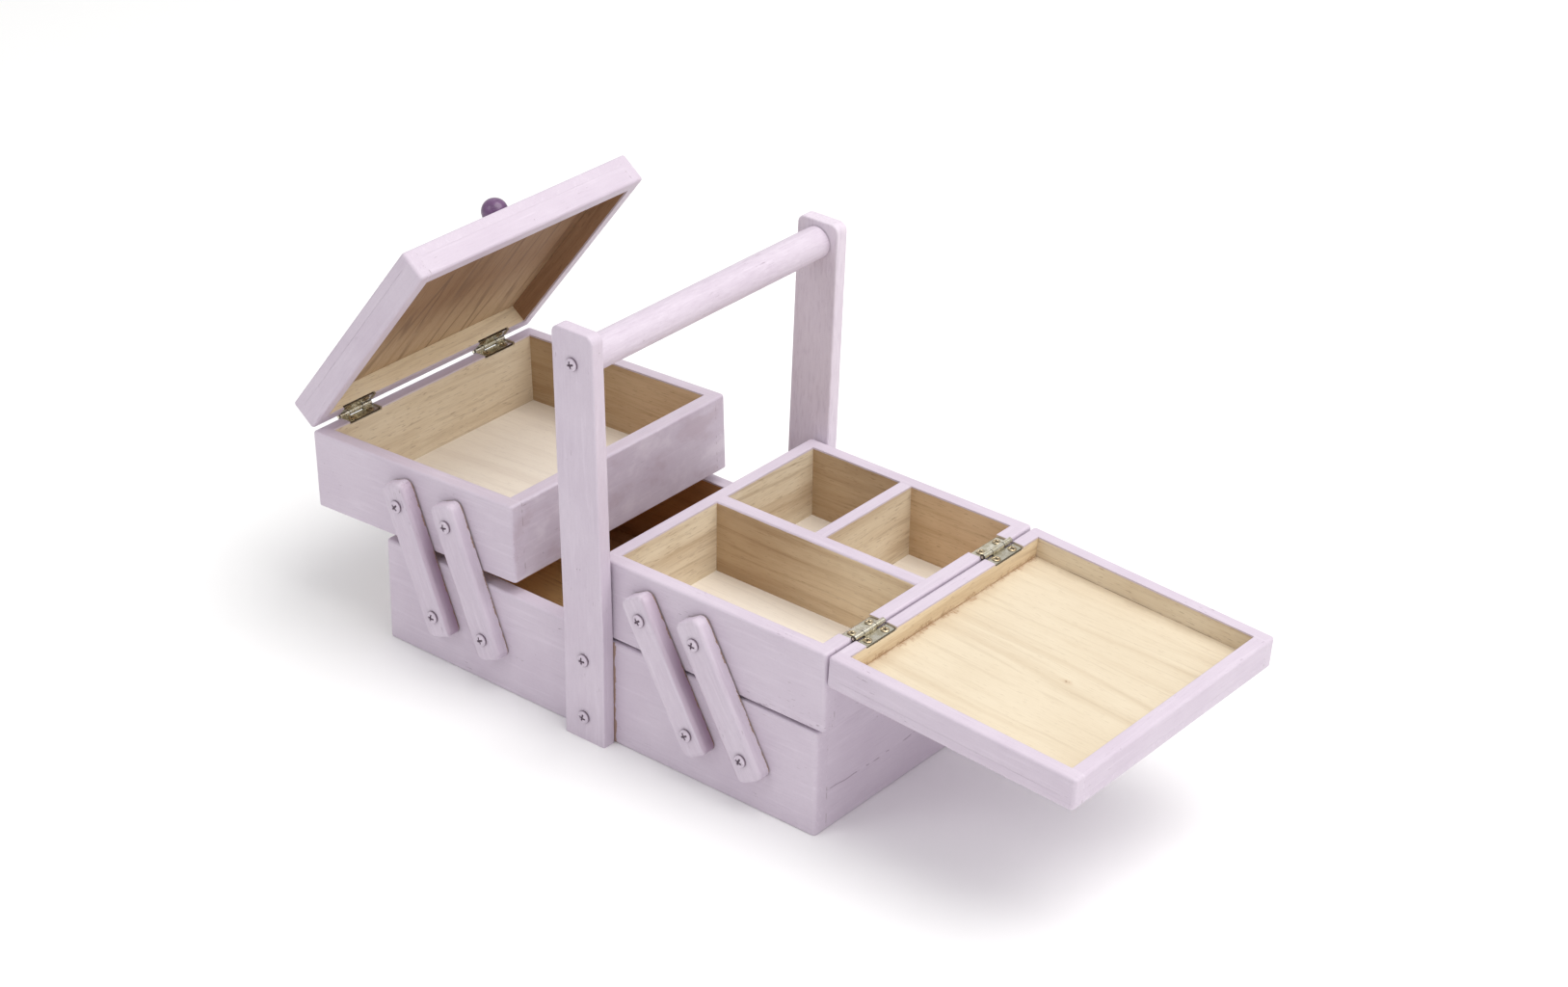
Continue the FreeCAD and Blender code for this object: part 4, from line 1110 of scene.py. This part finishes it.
def add_camera():
    data = bpy.data.cameras.new("camera")
    data.sensor_width = SENSOR_WIDTH
    data.lens = CAMERA_LENS
    data.clip_start = 0.05
    data.clip_end = 20
    camera = bpy.data.objects.new("camera", data)
    facing = (CAMERA_TARGET - CAMERA_SPOT).to_track_quat("-Z", "Y").to_matrix()
    rolled = facing @ Matrix.Rotation(CAMERA_ROLL, 3, "Z")
    camera.matrix_world = Matrix.Translation(CAMERA_SPOT) @ rolled.to_4x4()
    bpy.context.scene.collection.objects.link(camera)
    bpy.context.scene.camera = camera


def add_floor():
    mesh = bpy.data.meshes.new("floor")
    reach = 6.0
    mesh.from_pydata([(-reach, -reach, 0), (reach, -reach, 0), (reach, reach, 0),
                      (-reach, reach, 0)], [], [(0, 1, 2, 3)])
    floor = bpy.data.objects.new("floor", mesh)
    floor.location.z = cad_box[0].z - 0.1 * MM
    bpy.context.scene.collection.objects.link(floor)
    material, graph, shader = new_material("floor_paper")
    shader.inputs["Roughness"].default_value = 0.9
    spot = graph.add("TexCoord").outputs["Object"]
    drift = graph.noise(spot, 3.0, 2.0)
    graph.feed(shader.inputs["Base Color"],
               graph.mix(drift, colour(0.95, 0.95, 0.95), colour(0.97, 0.97, 0.97)))
    mesh.materials.append(material)


def add_softbox(name, spot, size, watts, tint):
    data = bpy.data.lights.new(name, "AREA")
    data.shape = "RECTANGLE"
    data.size, data.size_y = size
    data.energy = watts
    data.color = tint
    light = bpy.data.objects.new(name, data)
    light.location = spot
    light.rotation_euler = (LIGHT_TARGET - Vector(spot)).to_track_quat("-Z", "Y").to_euler()
    bpy.context.scene.collection.objects.link(light)


def add_light():
    world = bpy.data.worlds.new("studio")
    world.use_nodes = True
    sky = world.node_tree.nodes["Background"].inputs
    sky["Color"].default_value = colour(1.0, 1.0, 1.0)
    sky["Strength"].default_value = SKY_STRENGTH
    bpy.context.scene.world = world
    add_softbox("key_light", (0.7, 0.35, 1.8), (1.7, 1.7), 31, WARM)
    add_softbox("side_light", (2.0, -0.5, 0.9), (1.4, 1.4), 5.5, NEUTRAL)
    add_softbox("front_light", (-0.7, -1.5, 1.5), (0.8, 0.8), 5.5, COOL)
    add_softbox("rear_light", (-1.6, 1.5, 0.8), (1.4, 1.2), 3, NEUTRAL)


def set_view():
    """Colours as they are, with no filmic curve over them."""
    view = bpy.context.scene.view_settings
    view.view_transform = "Standard"
    view.look = "None"


dress_base()
for side in ("right", "left"):
    dress_tray(side)
    dress_lid(side)
dress_arms()
add_fittings()
add_camera()
add_floor()
add_light()
set_view()
